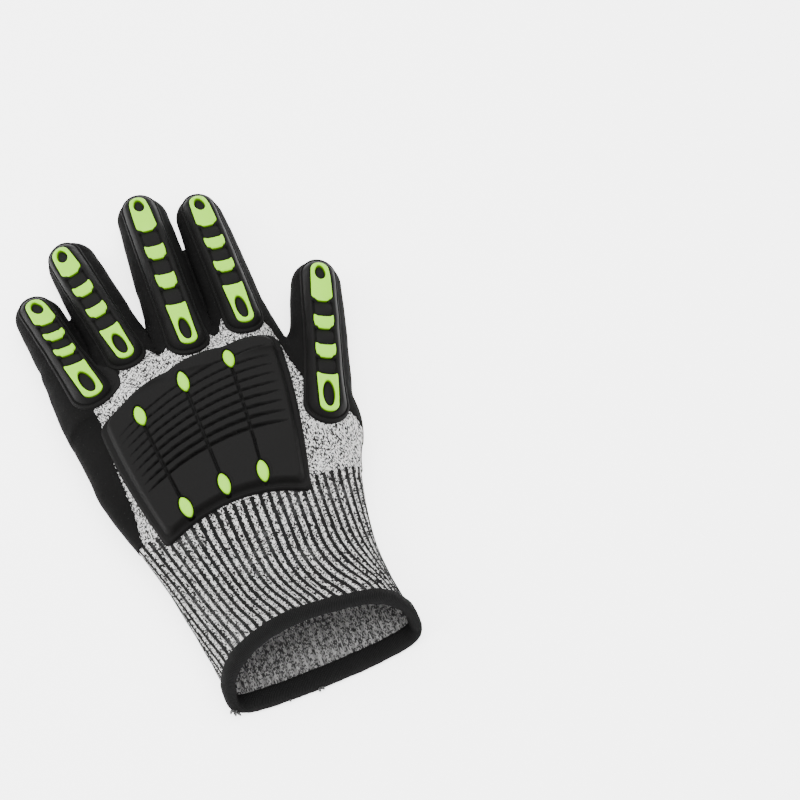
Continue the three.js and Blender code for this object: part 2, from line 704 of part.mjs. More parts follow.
// A guard's outline, inset from its edge: two long sides and four round corners.
function guardOutline({ half, length }, inset) {
  const corner = half * 0.94;
  const side = half - corner;
  const far = [0, 45, 90].map((turn) => ({ s: corner, turn: degToRad(turn) }));
  const near = far.map(({ turn }) => ({ s: length - corner, turn: turn + Math.PI / 2 }));
  const flanks = steps(4, corner, length - corner).slice(1, -1);
  const right = [...far, ...flanks.map((s) => ({ s, turn: Math.PI / 2 })), ...near].map(
    ({ s, turn }) =>
      new THREE.Vector2(
        side + (corner - inset) * Math.sin(turn),
        s - (corner - inset) * Math.cos(turn),
      ),
  );
  const left = right.map((p) => new THREE.Vector2(-p.x, p.y)).reverse();
  return [...right, ...left];
}

// An inlay's outline between two places along the guard. Its far edge is round or bears horns,
// its near edge is round or hollow between cut corners, and it narrows to its near end.
function inlayOutline(far, near, roundFar, roundNear) {
  const wide = INLAY_WIDTH / 2;
  const slim = wide - INLAY_TAPER;
  const arc = (s, half, sign) =>
    [90, 45, 0].map((turn) => [
      half * Math.sin(degToRad(turn)),
      s + sign * half * (1 - Math.cos(degToRad(turn))),
    ]);
  const horned = [[wide, far], [wide - HORN, far + HORN * 0.7], [0, far + HORN * 0.2]];
  const hollow = [[slim, near - HORN], [slim - HORN, near], [0, near - HORN * 0.8]];
  const farSide = roundFar ? arc(far, wide, 1) : horned;
  const nearSide = roundNear ? arc(near, slim, -1) : hollow;
  const right = [...farSide.reverse(), ...nearSide].map(([x, y]) => new THREE.Vector2(x, y));
  const left = right.slice(1, -1).map((p) => new THREE.Vector2(-p.x, p.y));
  return [...right, ...left.reverse()];
}

// The four inlays of a guard, from the fingertip: the first and the last have an oval window.
function inlayShapes(finger, { length }) {
  const tipEnd = finger.tip * length;
  const baseStart = finger.base * length;
  const baseEnd = length - INLAY_RIM;
  const bar = BAR * (baseStart - tipEnd);
  const middle = (baseStart - tipEnd - 3 * bar) / 2;
  const firstEnd = tipEnd + bar + middle;
  const eye = (from, to) => ({
    at: new THREE.Vector2(0, (from + to) / 2),
    length: (to - from) * 0.62,
  });
  return [
    {
      name: "tip_inlay",
      outline: inlayOutline(TIP_RIM, tipEnd, true, false),
      eye: eye(TIP_RIM, lerp(TIP_RIM, tipEnd, TIP_EYE)),
    },
    { name: "mid_inlay_1", outline: inlayOutline(tipEnd + bar, firstEnd, false, false) },
    {
      name: "mid_inlay_2",
      outline: inlayOutline(firstEnd + bar, baseStart - bar, false, false),
    },
    {
      name: "base_inlay",
      outline: inlayOutline(baseStart, baseEnd, false, true),
      eye: eye(lerp(baseStart, baseEnd, BASE_EYE), baseEnd),
    },
  ];
}

function guardPieces(finger) {
  const frame = guardFrame(finger);
  const place = (p, height) => guardPoint(finger, frame, p, height);
  const spine = (p) => new THREE.Vector2(0, clamp(p.y, frame.half, frame.length - frame.half));
  const rings = [
    { inset: 0, height: -SINK },
    { inset: 0, height: FLANGE_HEIGHT },
    { inset: FLANGE_WIDTH, height: FLANGE_HEIGHT },
    { inset: FLANGE_WIDTH + SHOULDER_RUN, height: GUARD_HEIGHT },
  ];
  const loops = rings.map(({ inset, height }) =>
    guardOutline(frame, inset).map((p) => place(p, height)),
  );
  const line = guardOutline(frame, 0).map(spine);
  const low = line.map((p) => place(p, -SINK));
  const high = line.map((p) => place(p, GUARD_HEIGHT));
  const n = low.length;
  const closed = [low, ...loops, high];
  const sides = closed.slice(1).flatMap((_, k) => band(n, k * n, (k + 1) * n));
  const block = solid(meshOf(closed.flat(), sides)).subtract(gloveClear);

  const floor = GUARD_HEIGHT - INLAY_DEPTH;
  const top = GUARD_HEIGHT + INLAY_PROUD;
  const cut = ({ outline, eye }, margin, from, to) => {
    const window = eye && oval(eye.at, eye.length, EYE_WIDTH, outline.length);
    return plate(grown(outline, margin), from, to, place, window && grown(window, -margin));
  };
  const shapes = inlayShapes(finger, frame);
  const body = shapes.reduce(
    (made, shape) => made.subtract(cut(shape, GAP / 2, floor, top + INLAY_DEPTH)),
    block,
  );
  const inlays = shapes.map((shape) => ({
    name: `${finger.name}_${shape.name}`,
    made: cut(shape, -GAP / 2, floor + GAP, top),
  }));
  return { body, inlays };
}

// Materials.

function material(color, roughness) {
  return new THREE.MeshStandardMaterial({ color, roughness, metalness: 0 });
}

const heatherKnit = material(0xa9a9a6, 0.95);
const sandyDip = material(0x262626, 0.9);
const stripedRib = material(0x6f6f6d, 0.95);
const blackTape = material(0x1b1b1c, 0.85);
const blackRubber = material(0x303030, 0.55);
const limeRubber = material(0xb7f23c, 0.45);

// Assembly.

const glove = new THREE.Group();

function add(name, made, finish) {
  const mesh = new THREE.Mesh(surface(made), finish);
  mesh.name = name;
  glove.add(mesh);
}

add("knit_back", handShell.intersect(knitWindow(-GAP / 2)), heatherKnit);
const dipped = handShell.subtract(knitWindow(GAP / 2));
const palm = stalls.reduce((made, f) => made.subtract(stallSpace(f, -GAP / 2)), dipped);
add("dipped_palm", palm, sandyDip);
for (const finger of stalls) {
  add(`${finger.name}_stall`, dipped.intersect(stallSpace(finger, GAP / 2)), sandyDip);
}
add("rib_cuff", cuffSolid(), stripedRib);
add("cuff_binding", bindingSolid(), blackTape);

const pockets = dots.map((outline) => dotSolid(outline, GAP / 2, -INLAY_DEPTH, INLAY_DEPTH));
const cuts = [...crossGrooves, ...longGrooves, ...pockets];
const knuckleGuard = cuts.reduce((made, cut) => made.subtract(cut), plateSolid());
add("knuckle_guard", knuckleGuard.subtract(gloveClear), blackRubber);
dots.forEach((outline, i) => {
  const made = dotSolid(outline, -GAP / 2, GAP - INLAY_DEPTH, INLAY_PROUD);
  add(`knuckle_dot_${i + 1}`, made, limeRubber);
});

for (const finger of stalls) {
  const { body, inlays } = guardPieces(finger);
  add(`${finger.name}_guard`, body, blackRubber);
  inlays.forEach(({ name, made }) => add(name, made, limeRubber));
}

export default glove;
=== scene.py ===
# %% [markdown]
# # A knitted impact glove
#
# This lesson dresses a left-hand impact glove that lies palm down on a pale table. On the real
# glove one knitted skin is dipped in a sandy rubber coat on its palm and round its fingers, a
# ribbed cuff runs out of the wrist, and moulded rubber guards are bonded on top.
#
# The engineering model is loaded first, as a fixed frame. It gives every place and size, and the
# pieces made here are laid over it. Lengths in the functions are millimetres, because a glove is
# measured in them, and they become metres only when a mesh is made.

# %% Load the frame
import math

import bpy
import numpy as np
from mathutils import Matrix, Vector


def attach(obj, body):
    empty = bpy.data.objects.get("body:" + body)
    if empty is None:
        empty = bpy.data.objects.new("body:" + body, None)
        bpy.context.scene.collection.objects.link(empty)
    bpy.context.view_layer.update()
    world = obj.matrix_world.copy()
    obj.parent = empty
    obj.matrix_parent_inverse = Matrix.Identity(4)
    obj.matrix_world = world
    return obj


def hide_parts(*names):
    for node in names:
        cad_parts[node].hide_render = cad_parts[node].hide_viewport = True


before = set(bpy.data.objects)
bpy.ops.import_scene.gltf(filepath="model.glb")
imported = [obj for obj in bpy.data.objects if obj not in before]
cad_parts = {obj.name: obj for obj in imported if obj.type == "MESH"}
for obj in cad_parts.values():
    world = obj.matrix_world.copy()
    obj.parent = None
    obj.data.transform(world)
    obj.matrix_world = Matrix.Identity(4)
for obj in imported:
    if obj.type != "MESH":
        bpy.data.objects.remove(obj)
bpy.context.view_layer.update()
MM = 0.001

# %% [markdown]
# ## Camera, light and table
#
# The camera looks down at 60 degrees from beyond the cuff, turned so that the fingers point up
# and to the left of the picture. It is a portrait lens about half a metre away.
#
# A catalogue picture is lit by large white panels, so that black rubber still shows its form in
# soft highlights and the table stays nearly white. One panel overhead does most of the work, one
# at the side rakes over the knit, and the pale surroundings fill the rest.

# %% The camera
AIM = Vector((86.1, -13.7, 0)) * MM
CAMERA_DISTANCE = 520 * MM
CAMERA_ELEVATION = math.radians(60)
CAMERA_AZIMUTH = math.radians(-23)
LENS = 50.4


def direction(azimuth, elevation):
    """The unit vector to a place at an azimuth, where 0 is towards -Y, and an elevation."""
    flat = math.cos(elevation)
    return Vector((math.sin(azimuth) * flat, -math.cos(azimuth) * flat, math.sin(elevation)))


camera = bpy.data.objects.new("camera", bpy.data.cameras.new("camera"))
bpy.context.collection.objects.link(camera)
back = direction(CAMERA_AZIMUTH, CAMERA_ELEVATION)
camera.location = AIM + back * CAMERA_DISTANCE
camera.rotation_euler = (-back).to_track_quat("-Z", "Y").to_euler()
camera.data.lens = LENS
camera.data.sensor_width = 36
camera.data.clip_start = 0.01
bpy.context.scene.camera = camera
print("camera", [round(v, 4) for v in camera.location])

# %% The lights
LIGHT_ROWS = (
    # name, azimuth, elevation, distance m, size m, watts
    ("overhead", 150, 72, 1.3, 1.3, 27.0),
    ("left", -105, 38, 1.2, 0.9, 13.0),
    ("front", 20, 40, 1.4, 0.8, 7.0),
)
SURROUNDINGS = 1.5


def add_light(name, azimuth, elevation, distance, size, watts):
    """A square panel of light that faces the glove."""
    data = bpy.data.lights.new(name, "AREA")
    data.shape = "SQUARE"
    data.size = size
    data.energy = watts
    panel = bpy.data.objects.new(name, data)
    bpy.context.collection.objects.link(panel)
    towards = direction(math.radians(azimuth), math.radians(elevation))
    panel.location = towards * distance
    panel.rotation_euler = towards.to_track_quat("Z", "Y").to_euler()


for row in LIGHT_ROWS:
    add_light(*row)

world = bpy.data.worlds.new("surroundings")
world.use_nodes = True
world.node_tree.nodes["Background"].inputs["Color"].default_value = (1, 1, 1, 1)
world.node_tree.nodes["Background"].inputs["Strength"].default_value = SURROUNDINGS
bpy.context.scene.world = world
print("lights", len(LIGHT_ROWS))

# %% [markdown]
# ## Shader arithmetic
#
# A finish is a recipe: coordinates go in, and colour, roughness and relief come out. Written as
# nodes one by one it is long to read, so a small class wraps a socket and lets a formula be
# written with + - * as on paper. Every other node comes from its `node` method.

# %% A socket with arithmetic


class Wire:
    """An output socket in a material's node tree, which can be added, multiplied and so on."""

    def __init__(self, tree, socket=None):
        self.tree = tree
        self.socket = socket

    def node(self, kind, settings=None, inputs=None, out=0):
        """A new node: its settings first, then numbers or wires for its inputs."""
        made = self.tree.nodes.new("ShaderNode" + kind)
        for key, value in (settings or {}).items():
            if key == "stops":
                ramp = made.color_ramp
                while len(ramp.elements) < len(value):
                    ramp.elements.new(0.5)
                for element, (place, color) in zip(ramp.elements, value):
                    element.position = place
                    element.color = (*color, 1)
            else:
                setattr(made, key, value)
        for key, value in (inputs or {}).items():
            if isinstance(value, Wire):
                self.tree.links.new(value.socket, made.inputs[key])
            else:
                made.inputs[key].default_value = value
        return Wire(self.tree, made.outputs[out])

    def maths(self, operation, a, b=0.0):
        return self.node("Math", {"operation": operation}, {0: a, 1: b})

    def __add__(self, other):
        return self.maths("ADD", self, other)

    __radd__ = __add__

    def __sub__(self, other):
        return self.maths("SUBTRACT", self, other)

    def __rsub__(self, other):
        return self.maths("SUBTRACT", other, self)

    def __mul__(self, other):
        return self.maths("MULTIPLY", self, other)

    __rmul__ = __mul__

    def floor(self):
        return self.maths("FLOOR", self)

    def fract(self):
        return self.maths("FRACT", self)

    def sine(self):
        return self.maths("SINE", self)

    def size(self):
        return self.maths("ABSOLUTE", self)

    def step(self, low, high):
        """0 below low, 1 above high and smooth between them."""
        settings = {"interpolation_type": "SMOOTHSTEP"}
        return self.node("MapRange", settings, {"Value": self, "From Min": low, "From Max": high})

    def noise(self, vector, scale, detail=2.0, rough=0.5):
        places = {"Vector": vector, "Scale": scale, "Detail": detail, "Roughness": rough}
        return self.node("TexNoise", None, places)

    def random(self, vector):
        return self.node("TexWhiteNoise", {"noise_dimensions": "3D"}, {"Vector": vector})

    def place(self, x, y, z=0.0):
        return self.node("CombineXYZ", None, {0: x, 1: y, 2: z})

    def blend(self, factor, first, second):
        """A colour that goes from the first to the second."""
        return self.node("Mix", {"data_type": "RGBA"}, {0: factor, 6: first, 7: second}, out=2)

    def shaded(self, shade):
        """This colour multiplied by another."""
        settings = {"data_type": "RGBA", "blend_type": "MULTIPLY"}
        return self.node("Mix", settings, {0: 1.0, 6: self, 7: shade}, out=2)


def start_finish(name, **uniform):
    """A new material, its shader node and a wire to begin with. Uniform values are set on it."""
    made = bpy.data.materials.new(name)
    made.use_nodes = True
    tree = made.node_tree
    shader = tree.nodes["Principled BSDF"]
    for key, value in uniform.items():
        shader.inputs[key.replace("_", " ")].default_value = value
    return made, shader, Wire(tree)


def connect(wire, shader, **links):
    """Feeds the shader's sockets that change over the surface."""
    for key, value in links.items():
        wire.tree.links.new(value.socket, shader.inputs[key.replace("_", " ")])


def relief(wire, height, distance, strength=1.0):
    """A bump from a height between 0 and 1, distance metres deep."""
    values = {"Height": height, "Distance": distance, "Strength": strength}
    return wire.node("Bump", None, values)


def yarn_axes(wire):
    """The two numbers of a piece's yarn map: across the rows of stitches and along them."""
    uv = wire.node("UVMap", {"uv_map": "yarn"})
    parts = wire.node("SeparateXYZ", None, {0: uv})
    return parts, Wire(wire.tree, parts.socket.node.outputs[1])


def grey(value, warm=1.0):
    """A grey, a little warm or cold, as a colour with its alpha."""
    return (value * warm, value, value / warm, 1)


print("shader arithmetic ready")

# %% [markdown]
# ## The finishes of the cloth
#
# Jersey is columns of V-shaped stitches. Each stitch is one cell of a pattern: across the cell
# the two legs of the V rise and fall, and the rows slant down to the middle. Heather yarn is
# spun from white, grey and black fibres, so the colour changes every stitch or two along a row.
# The pattern is read from a yarn map that each piece carries in millimetres, because cloth
# stretches round a hand and a pattern fixed in space would slide over it.

# %% Heather jersey
WALE = 1.35
COURSE = 0.62
SLANT = 1.9
YARN_BLACK = grey(0.012)
YARN_GREY = grey(0.22, 1.01)
YARN_WHITE = grey(0.84, 1.01)
STITCH_DEPTH = 0.35 * MM
CHANCE_SHARE = 0.72
FIBRE_SHARE = 0.5
DRIFT_SHARE = 0.55
TONE_SHIFT = 0.38


def heather(wire, across, along, dark, black=YARN_BLACK, white=YARN_WHITE, streak=1.0):
    """Colour and height of jersey. Across is in columns and along in rows of stitches. Each
    half column is one leg of the V, its rows slant to the column's middle, and its colour comes
    from slow noise along the row plus chance for each stitch. dark moves it towards black, and a
    streak under 1 draws the slow noise out along the columns."""
    leg = (across.fract() - 0.5).size()
    row = along + leg * SLANT
    half_column = (across * 2.0).floor()
    chance = wire.random(wire.place(half_column, row.floor()))
    fibre = wire.noise(wire.place(across * 3.1, row * 1.3), 1.0, 2.0)
    drift = wire.noise(wire.place(across * 0.5, row.floor() * 1.3 * streak), 1.0, 1.0)
    tone = chance * CHANCE_SHARE + fibre * FIBRE_SHARE + drift * DRIFT_SHARE - TONE_SHIFT - dark
    grey_part = wire.blend(tone.step(0.34, 0.42), black, YARN_GREY)
    color = wire.blend(tone.step(0.42, 0.56), grey_part, white)
    over = 1 - ((leg - 0.25).size() * 4.0)
    loop = (row.fract() * math.pi).sine()
    height = over.step(0.0, 0.9) * (loop * 0.6 + 0.4)
    return color, height


def heather_finish():
    """The bare knit: its stitches stand up, and the hollows between them are darkened in the colour
    as painted shade.
    """
    made, shader, wire = start_finish(
        "heather_knit", Roughness=0.95, Specular_IOR_Level=0.15, Sheen_Weight=0.05
    )
    u, v = yarn_axes(wire)
    color, height = heather(wire, u * (1 / WALE), v * (1 / COURSE), 0.0)
    # painted shade: the colour is multiplied darker where the stitch height is low, in the hollows
    # between stitches
    shade = wire.blend(height.step(0.0, 0.6), grey(0.42), grey(1.0))
    connect(
        wire, shader, Base_Color=color.shaded(shade), Normal=relief(wire, height, STITCH_DEPTH)
    )
    return made


heather_knit = heather_finish()
print("finish", heather_knit.name)

# %% [markdown]
# The cuff is knitted with black yarn in every second column, and the elastic pulls those columns
# down, so heather ribs stand between black valleys. Its yarn map counts ribs across, so that the
# stripes follow every bend of the cloth. Where a black column meets a heather one, each row of
# stitches bites into the other, which makes the fine ladder at the stripe's edges.

# %% Striped rib
RIB_STITCH = 0.62
STRIPE_HALF = 0.25
STRIPE_SOFTNESS = 0.03
LADDER = 0.05
RAGGEDNESS = 0.07


def rib_finish(name, contrast, dark, **yarns):
    """Stripes by the fraction of the rib count. Near the valley it is black, with the border
    moved in and out by a sine along the rows and by chance. In some patches pale specks of
    heather yarn show through the black, one to a row."""
    made, shader, wire = start_finish(name, Roughness=0.95, Specular_IOR_Level=0.15)
    u, v = yarn_axes(wire)
    rows = v * (1 / RIB_STITCH)
    color, height = heather(wire, u * 3.0, rows, dark, **yarns)
    off = (u.fract() - 0.5).size()
    bite = (rows * (2 * math.pi)).sine() * LADDER
    jitter = (wire.random(wire.place(u.floor(), rows.floor())) - 0.5) * RAGGEDNESS
    low, high = STRIPE_HALF - STRIPE_SOFTNESS, STRIPE_HALF + STRIPE_SOFTNESS
    valley = 1 - (off + bite + jitter).step(low, high)
    rung = (rows.fract() - 0.5).size().step(0.3, 0.42)
    patches = wire.noise(wire.place(u * 0.21, v * 0.045), 1.0, 1.0).step(0.5, 0.68)
    speck = wire.random(wire.place(u.floor(), rows.floor(), 7.0)).step(0.35, 0.6)
    black = wire.blend(rung * patches * speck * 0.5, grey(0.006), grey(0.3))
    striped = wire.blend(valley * contrast, color, black)
    # painted shade: as on the bare knit, the colour is darker in the hollows between stitches
    shade = wire.blend(height.step(0.0, 0.6), grey(0.45), grey(1.0))
    connect(
        wire, shader, Base_Color=striped.shaded(shade), Normal=relief(wire, height, STITCH_DEPTH)
    )
    return made


striped_rib = rib_finish("striped_rib", 1.0, 0.0)
cuff_inside = rib_finish(
    "cuff_inside", 0.4, 0.01, black=grey(0.05), white=grey(0.42, 1.01), streak=0.25
)
print("finishes", striped_rib.name, cuff_inside.name)

# %% [markdown]
# The coat is nitrile rubber with fine salt dissolved out of it, which leaves a matt, sandy skin.
# It has no direction, so it reads object coordinates: grain a fifth of a millimetre wide for the
# sand, slow patches where the dip lies thicker, and a few pale specks of dust. The binding is
# thread wrapped round the cuff's edge, so its relief runs across the band.

# %% Sandy coat and thread binding
SAND_SIZE = 0.22 * MM


def coat_finish():
    """Matt black with sandy relief, a little blacker where the dip is thick, and dusty specks."""
    made, shader, wire = start_finish("sandy_dip", Specular_IOR_Level=0.05)
    spot = wire.node("TexCoord", out=3)
    sand = wire.noise(spot, 0.5 / SAND_SIZE, 3.0, 0.7)
    patches = wire.noise(spot, 55.0, 3.0, 0.6)
    flecks = wire.noise(spot, 1500.0, 1.0, 0.5).step(0.72, 0.78)
    tone = patches.step(0.3, 0.7) * 0.35 + sand * 0.65
    color = wire.blend(tone, grey(0.002), grey(0.0052, 1.03))
    dusty = wire.blend(flecks * 0.3, color, grey(0.05))
    rough = 0.78 + patches * 0.16
    height = sand * 0.75 + wire.noise(spot, 420.0, 2.0) * 0.25
    connect(
        wire,
        shader,
        Base_Color=dusty,
        Roughness=rough,
        Normal=relief(wire, height, 0.28 * MM, 0.8),
    )
    return made


def binding_finish():
    """Threads wound across the band: ridges along its length, slanted a little, with fibres, and
    painted highlights on the ridges.
    """
    made, shader, wire = start_finish(
        "black_binding", Roughness=0.95, Specular_IOR_Level=0.08
    )
    u, v = yarn_axes(wire)
    slant = u * 1.45 + v * 0.25
    thread = ((slant + wire.noise(wire.place(u * 0.5, v), 1.0, 2.0) * 0.5).fract() - 0.5).size()
    fibre = wire.noise(wire.place(u * 6.0, v * 1.2), 1.0, 2.0)
    height = (1 - thread.step(0.1, 0.5)) * 0.7 + fibre * 0.3
    # painted highlight and shade: the colour is a little lighter on the thread ridges and darker in
    # the hollows between them
    color = wire.blend(height.step(0.35, 0.9), grey(0.002), grey(0.009))
    connect(wire, shader, Base_Color=color, Normal=relief(wire, height, 0.3 * MM))
    return made


def thread_finish():
    """A grey-black spun thread, spotted by its fibres."""
    made, shader, wire = start_finish("binding_thread", Roughness=0.95, Specular_IOR_Level=0.08)
    fibre = wire.noise(wire.node("TexCoord", out=3), 2400.0, 2.0)
    connect(wire, shader, Base_Color=wire.blend(fibre.step(0.4, 0.62), grey(0.008), grey(0.11)))
    return made


sandy_dip = coat_finish()
black_binding = binding_finish()
binding_thread = thread_finish()
print("finishes", sandy_dip.name, black_binding.name)

# %% [markdown]
# ## The finishes of the rubber
#
# The guards are moulded from thermoplastic rubber. Black rubber has a satin skin with slight
# unevenness in its gloss and faint pale scuffs on its high places. The lime rubber is cast into
# pockets of the black, and it is a little translucent, so light that enters softens its shadows.
# A `rise` value on each lime piece says how high a point stands on its side wall, and the foot of
# the wall is painted darker, as painted shade.

# %% Black and lime rubber


def guard_finish():
    """Satin black, a little cloudy, with pale scuffs."""
    made, shader, wire = start_finish("guard_rubber", Specular_IOR_Level=0.07)
    spot = wire.node("TexCoord", out=3)
    cloud = wire.noise(spot, 70.0, 3.0, 0.6)
    grain = wire.noise(spot, 3200.0, 2.0, 0.6)
    scuffs = wire.noise(spot, 260.0, 4.0, 0.75).step(0.66, 0.8)
    color = wire.blend(cloud * 0.8 + grain * 0.2, grey(0.003, 1.03), grey(0.0052, 1.03))
    scuffed = wire.blend(scuffs * 0.14, color, grey(0.035))
    rough = 0.58 + cloud * 0.12 + scuffs * 0.1
    connect(
        wire,
        shader,
        Base_Color=scuffed,
        Roughness=rough,
        Normal=relief(wire, grain, 0.05 * MM, 0.7),
    )
    return made


def lime_finish():
    """Satin lime, with painted shade that darkens it towards the foot of each side wall. A faint
    glow of its own is painted light that stands for the light scattered inside it."""
    made, shader, wire = start_finish(
        "lime_rubber",
        Specular_IOR_Level=0.3,
        Emission_Color=(0.3, 0.75, 0.0, 1),
        Emission_Strength=0.2,
    )
    spot = wire.node("TexCoord", out=3)
    cloud = wire.noise(spot, 160.0, 3.0, 0.6)
    grain = wire.noise(spot, 2600.0, 2.0, 0.6)
    rise = wire.node("Attribute", {"attribute_name": "rise"}, out=2)
    face = wire.blend(cloud, (0.2, 0.52, 0.0, 1), (0.23, 0.57, 0.001, 1))
    # painted shade: dark green at the foot of each wall, going over to the lime face by the rise
    # value
    color = wire.blend(rise.step(0.25, 0.85), (0.02, 0.07, 0.0, 1), face)
    connect(
        wire,
        shader,
        Base_Color=color,
        Roughness=0.38 + cloud * 0.12,
        Normal=relief(wire, grain, 0.04 * MM, 0.6),
    )
    return made


guard_rubber = guard_finish()
lime_rubber = lime_finish()
print("finishes", guard_rubber.name, lime_rubber.name)

# %% [markdown]
# ## From arrays to a mesh
#
# A surface is an array of points worked out from two parameters. Two helpers turn that into a
# mesh: one lists the quads between neighbouring points of a grid, and one fills Blender's mesh,
# with the yarn map given for each corner so that it can jump at a seam.

# %% Grids and meshes


def grid_faces(rows, columns, closed=True):
    """Quads of a grid whose points count row by row. closed joins the last column to the first.
    The second array names the same corners in a grid with one more column, for a map."""
    i, j = np.meshgrid(
        np.arange(rows - 1), np.arange(columns if closed else columns - 1), indexing="ij"
    )
    ahead = (j + 1) % columns
    near, far = i * columns, (i + 1) * columns
    faces = np.stack([near + j, near + ahead, far + ahead, far + j], -1).reshape(-1, 4)
    wide = columns + 1
    low, high = i * wide + j, (i + 1) * wide + j
    corners = np.stack([low, low + 1, high + 1, high], -1).reshape(-1, 4)
    return faces, corners


def capped(points, rows, columns):
    """Points and faces of a grid of loops, its two ends closed by fans round their middles."""
    faces, _ = grid_faces(rows, columns)
    grid = points.reshape(rows, columns, 3)
    middles = np.stack([grid[0].mean(0), grid[-1].mean(0)])
    count = rows * columns
    j = np.arange(columns)
    ahead = (j + 1) % columns
    end = count - columns
    first = np.stack([np.full(columns, count), ahead, j], -1)
    last = np.stack([np.full(columns, count + 1), end + j, end + ahead], -1)
    return np.concatenate([points.reshape(-1, 3), middles]), [faces, first, last]


def floored(rows):
    """Points and faces of a grid of loops whose first loop is closed by a fan."""
    count = rows.shape[1]
    faces, _ = grid_faces(len(rows), count)
    points = np.concatenate([rows.reshape(-1, 3), rows[0].mean(0)[None]])
    under = np.arange(count)
    fan = np.stack([np.full(count, len(points) - 1), (under + 1) % count, under], -1)
    return points, [faces, fan]


def make_piece(name, points, faces, finishes, yarn=None, rise=None, kinds=None):
    """A mesh object from points in millimetres. faces is a list of arrays of quads and triangles,
    yarn gives a map for each corner, rise a value for each point and kinds a finish's number
    for each face."""
    mesh = bpy.data.meshes.new(name)
    sides = np.concatenate([np.full(len(f), f.shape[1]) for f in faces])
    corners = np.concatenate([f.ravel() for f in faces])
    mesh.vertices.add(len(points))
    mesh.vertices.foreach_set("co", (points * MM).astype(np.float32).ravel())
    mesh.loops.add(len(corners))
    mesh.loops.foreach_set("vertex_index", corners.astype(np.int32))
    mesh.polygons.add(len(sides))
    starts = np.concatenate([[0], np.cumsum(sides)[:-1]])
    mesh.polygons.foreach_set("loop_start", starts.astype(np.int32))
    if kinds is not None:
        mesh.polygons.foreach_set("material_index", kinds.astype(np.int32))
    mesh.update(calc_edges=True)
    mesh.shade_smooth()
    if yarn is not None:
        layer = mesh.uv_layers.new(name="yarn")
        layer.data.foreach_set("uv", yarn.astype(np.float32).ravel())
    if rise is not None:
        values = mesh.attributes.new("rise", "FLOAT", "POINT")
        values.data.foreach_set("value", rise.astype(np.float32))
    for finish in finishes:
        mesh.materials.append(finish)
    mesh.validate()
    piece = bpy.data.objects.new(name, mesh)
    bpy.context.collection.objects.link(piece)
    return piece


def settle(piece, slot, *nodes):
    """The piece rides on the glove's only body and stands for CAD nodes. Its slot is not used."""
    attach(piece, "root")
    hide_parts(*nodes)
    print(piece.name, "faces", len(piece.data.polygons))
    return piece


def smooth_step(low, high, value):
    """0 at low, 1 at high and a smooth S between them. low may lie above high."""
    t = np.clip((value - low) / (high - low), 0, 1)
    return t * t * (3 - 2 * t)


# %% [markdown]
# ## The form of the glove
#
# The glove's hand and cuff are one tube. A short table gives its sections, from the mouth to the
# webs between the fingers, and a cubic through the rows gives every section between them. Each
# section is a rounded flat oval, pressed flat where it lies on the table.
#
# The fingers are tubes of their own, each in its own frame: X across, Y along and Z up. Formulas
# and sizes follow the engineering model closely, so everything lands in its place.

# %% Sections of the hand and the cuff
SECTION_COLUMNS = ("y", "left", "right", "top", "side", "floor", "lean")
SECTION_ROWS = (
    (-123.6, -31.0, 50.0, 34.0, 6.8, 1.5, 18.0),
    (-111.1, -32.4, 49.0, 31.9, 7.1, 1.5, 14.0),
    (-98.6, -34.4, 47.9, 29.2, 7.8, 0.8, 9.4),
    (-83.8, -37.1, 47.6, 26.8, 8.8, 0.15, 5.0),
    (-69.0, -40.0, 49.2, 25.4, 9.9, 0.0, 1.8),
    (-45.6, -46.4, 54.4, 25.2, 11.8, 0.0, 0.0),
    (-19.0, -54.5, 63.2, 27.4, 11.5, 0.0, 0.0),
    (0.0, -57.0, 57.2, 28.0, 11.5, 0.0, 0.0),
    (30.4, -60.2, 46.4, 25.8, 10.9, 0.0, 0.0),
    (44.9, -59.4, 42.7, 20.7, 10.4, 1.1, 0.0),
    (56.5, -56.2, 37.2, 15.1, 10.1, 5.0, 0.0),
    (59.4, -51.5, 34.0, 11.8, 10.1, 7.8, 0.0),
)
SECTIONS = dict(zip(SECTION_COLUMNS, np.array(SECTION_ROWS).T))
WRIST_Y = -45.6
WEB_Y = 59.4
MOUTH_Y = -123.6
# the power of the superellipse, and how much deeper its lower half is than the floor allows
SQUARENESS = 2.3
FLATTENING = 1.35
WALL = 1.8
DENT_ROWS = (
    # x, y, reach, depth
    (24.6, -94.0, 16.4, 5.8),
    (-21.3, -88.5, 18.0, 2.7),
    (4.9, -76.8, 16.4, -1.4),
)


def section_value(name, y):
    """One column of the table at y: a cubic between rows, with the slope of the rows around."""
    x, v = SECTIONS["y"], SECTIONS[name]
    slope = np.gradient(v, x)
    k = np.clip(np.searchsorted(x, y) - 1, 0, len(x) - 2)
    width = x[k + 1] - x[k]
    t = np.clip((y - x[k]) / width, 0, 1)
    return (
        (1 + 2 * t) * (1 - t) ** 2 * v[k]
        + t * (1 - t) ** 2 * width * slope[k]
        + t**2 * (3 - 2 * t) * v[k + 1]
        + t**2 * (t - 1) * width * slope[k + 1]
    )


def section_at(y):
    """The whole section at y."""
    return {name: section_value(name, y) for name in SECTION_COLUMNS[1:]}


def dent_depth(x, y):
    """The sum of soft round dents, each a bell curve over the distance to its middle."""
    depth = 0
    for middle_x, middle_y, reach, deep in DENT_ROWS:
        depth = depth + deep * np.exp(-((x - middle_x) ** 2 + (y - middle_y) ** 2) / reach**2)
    return depth


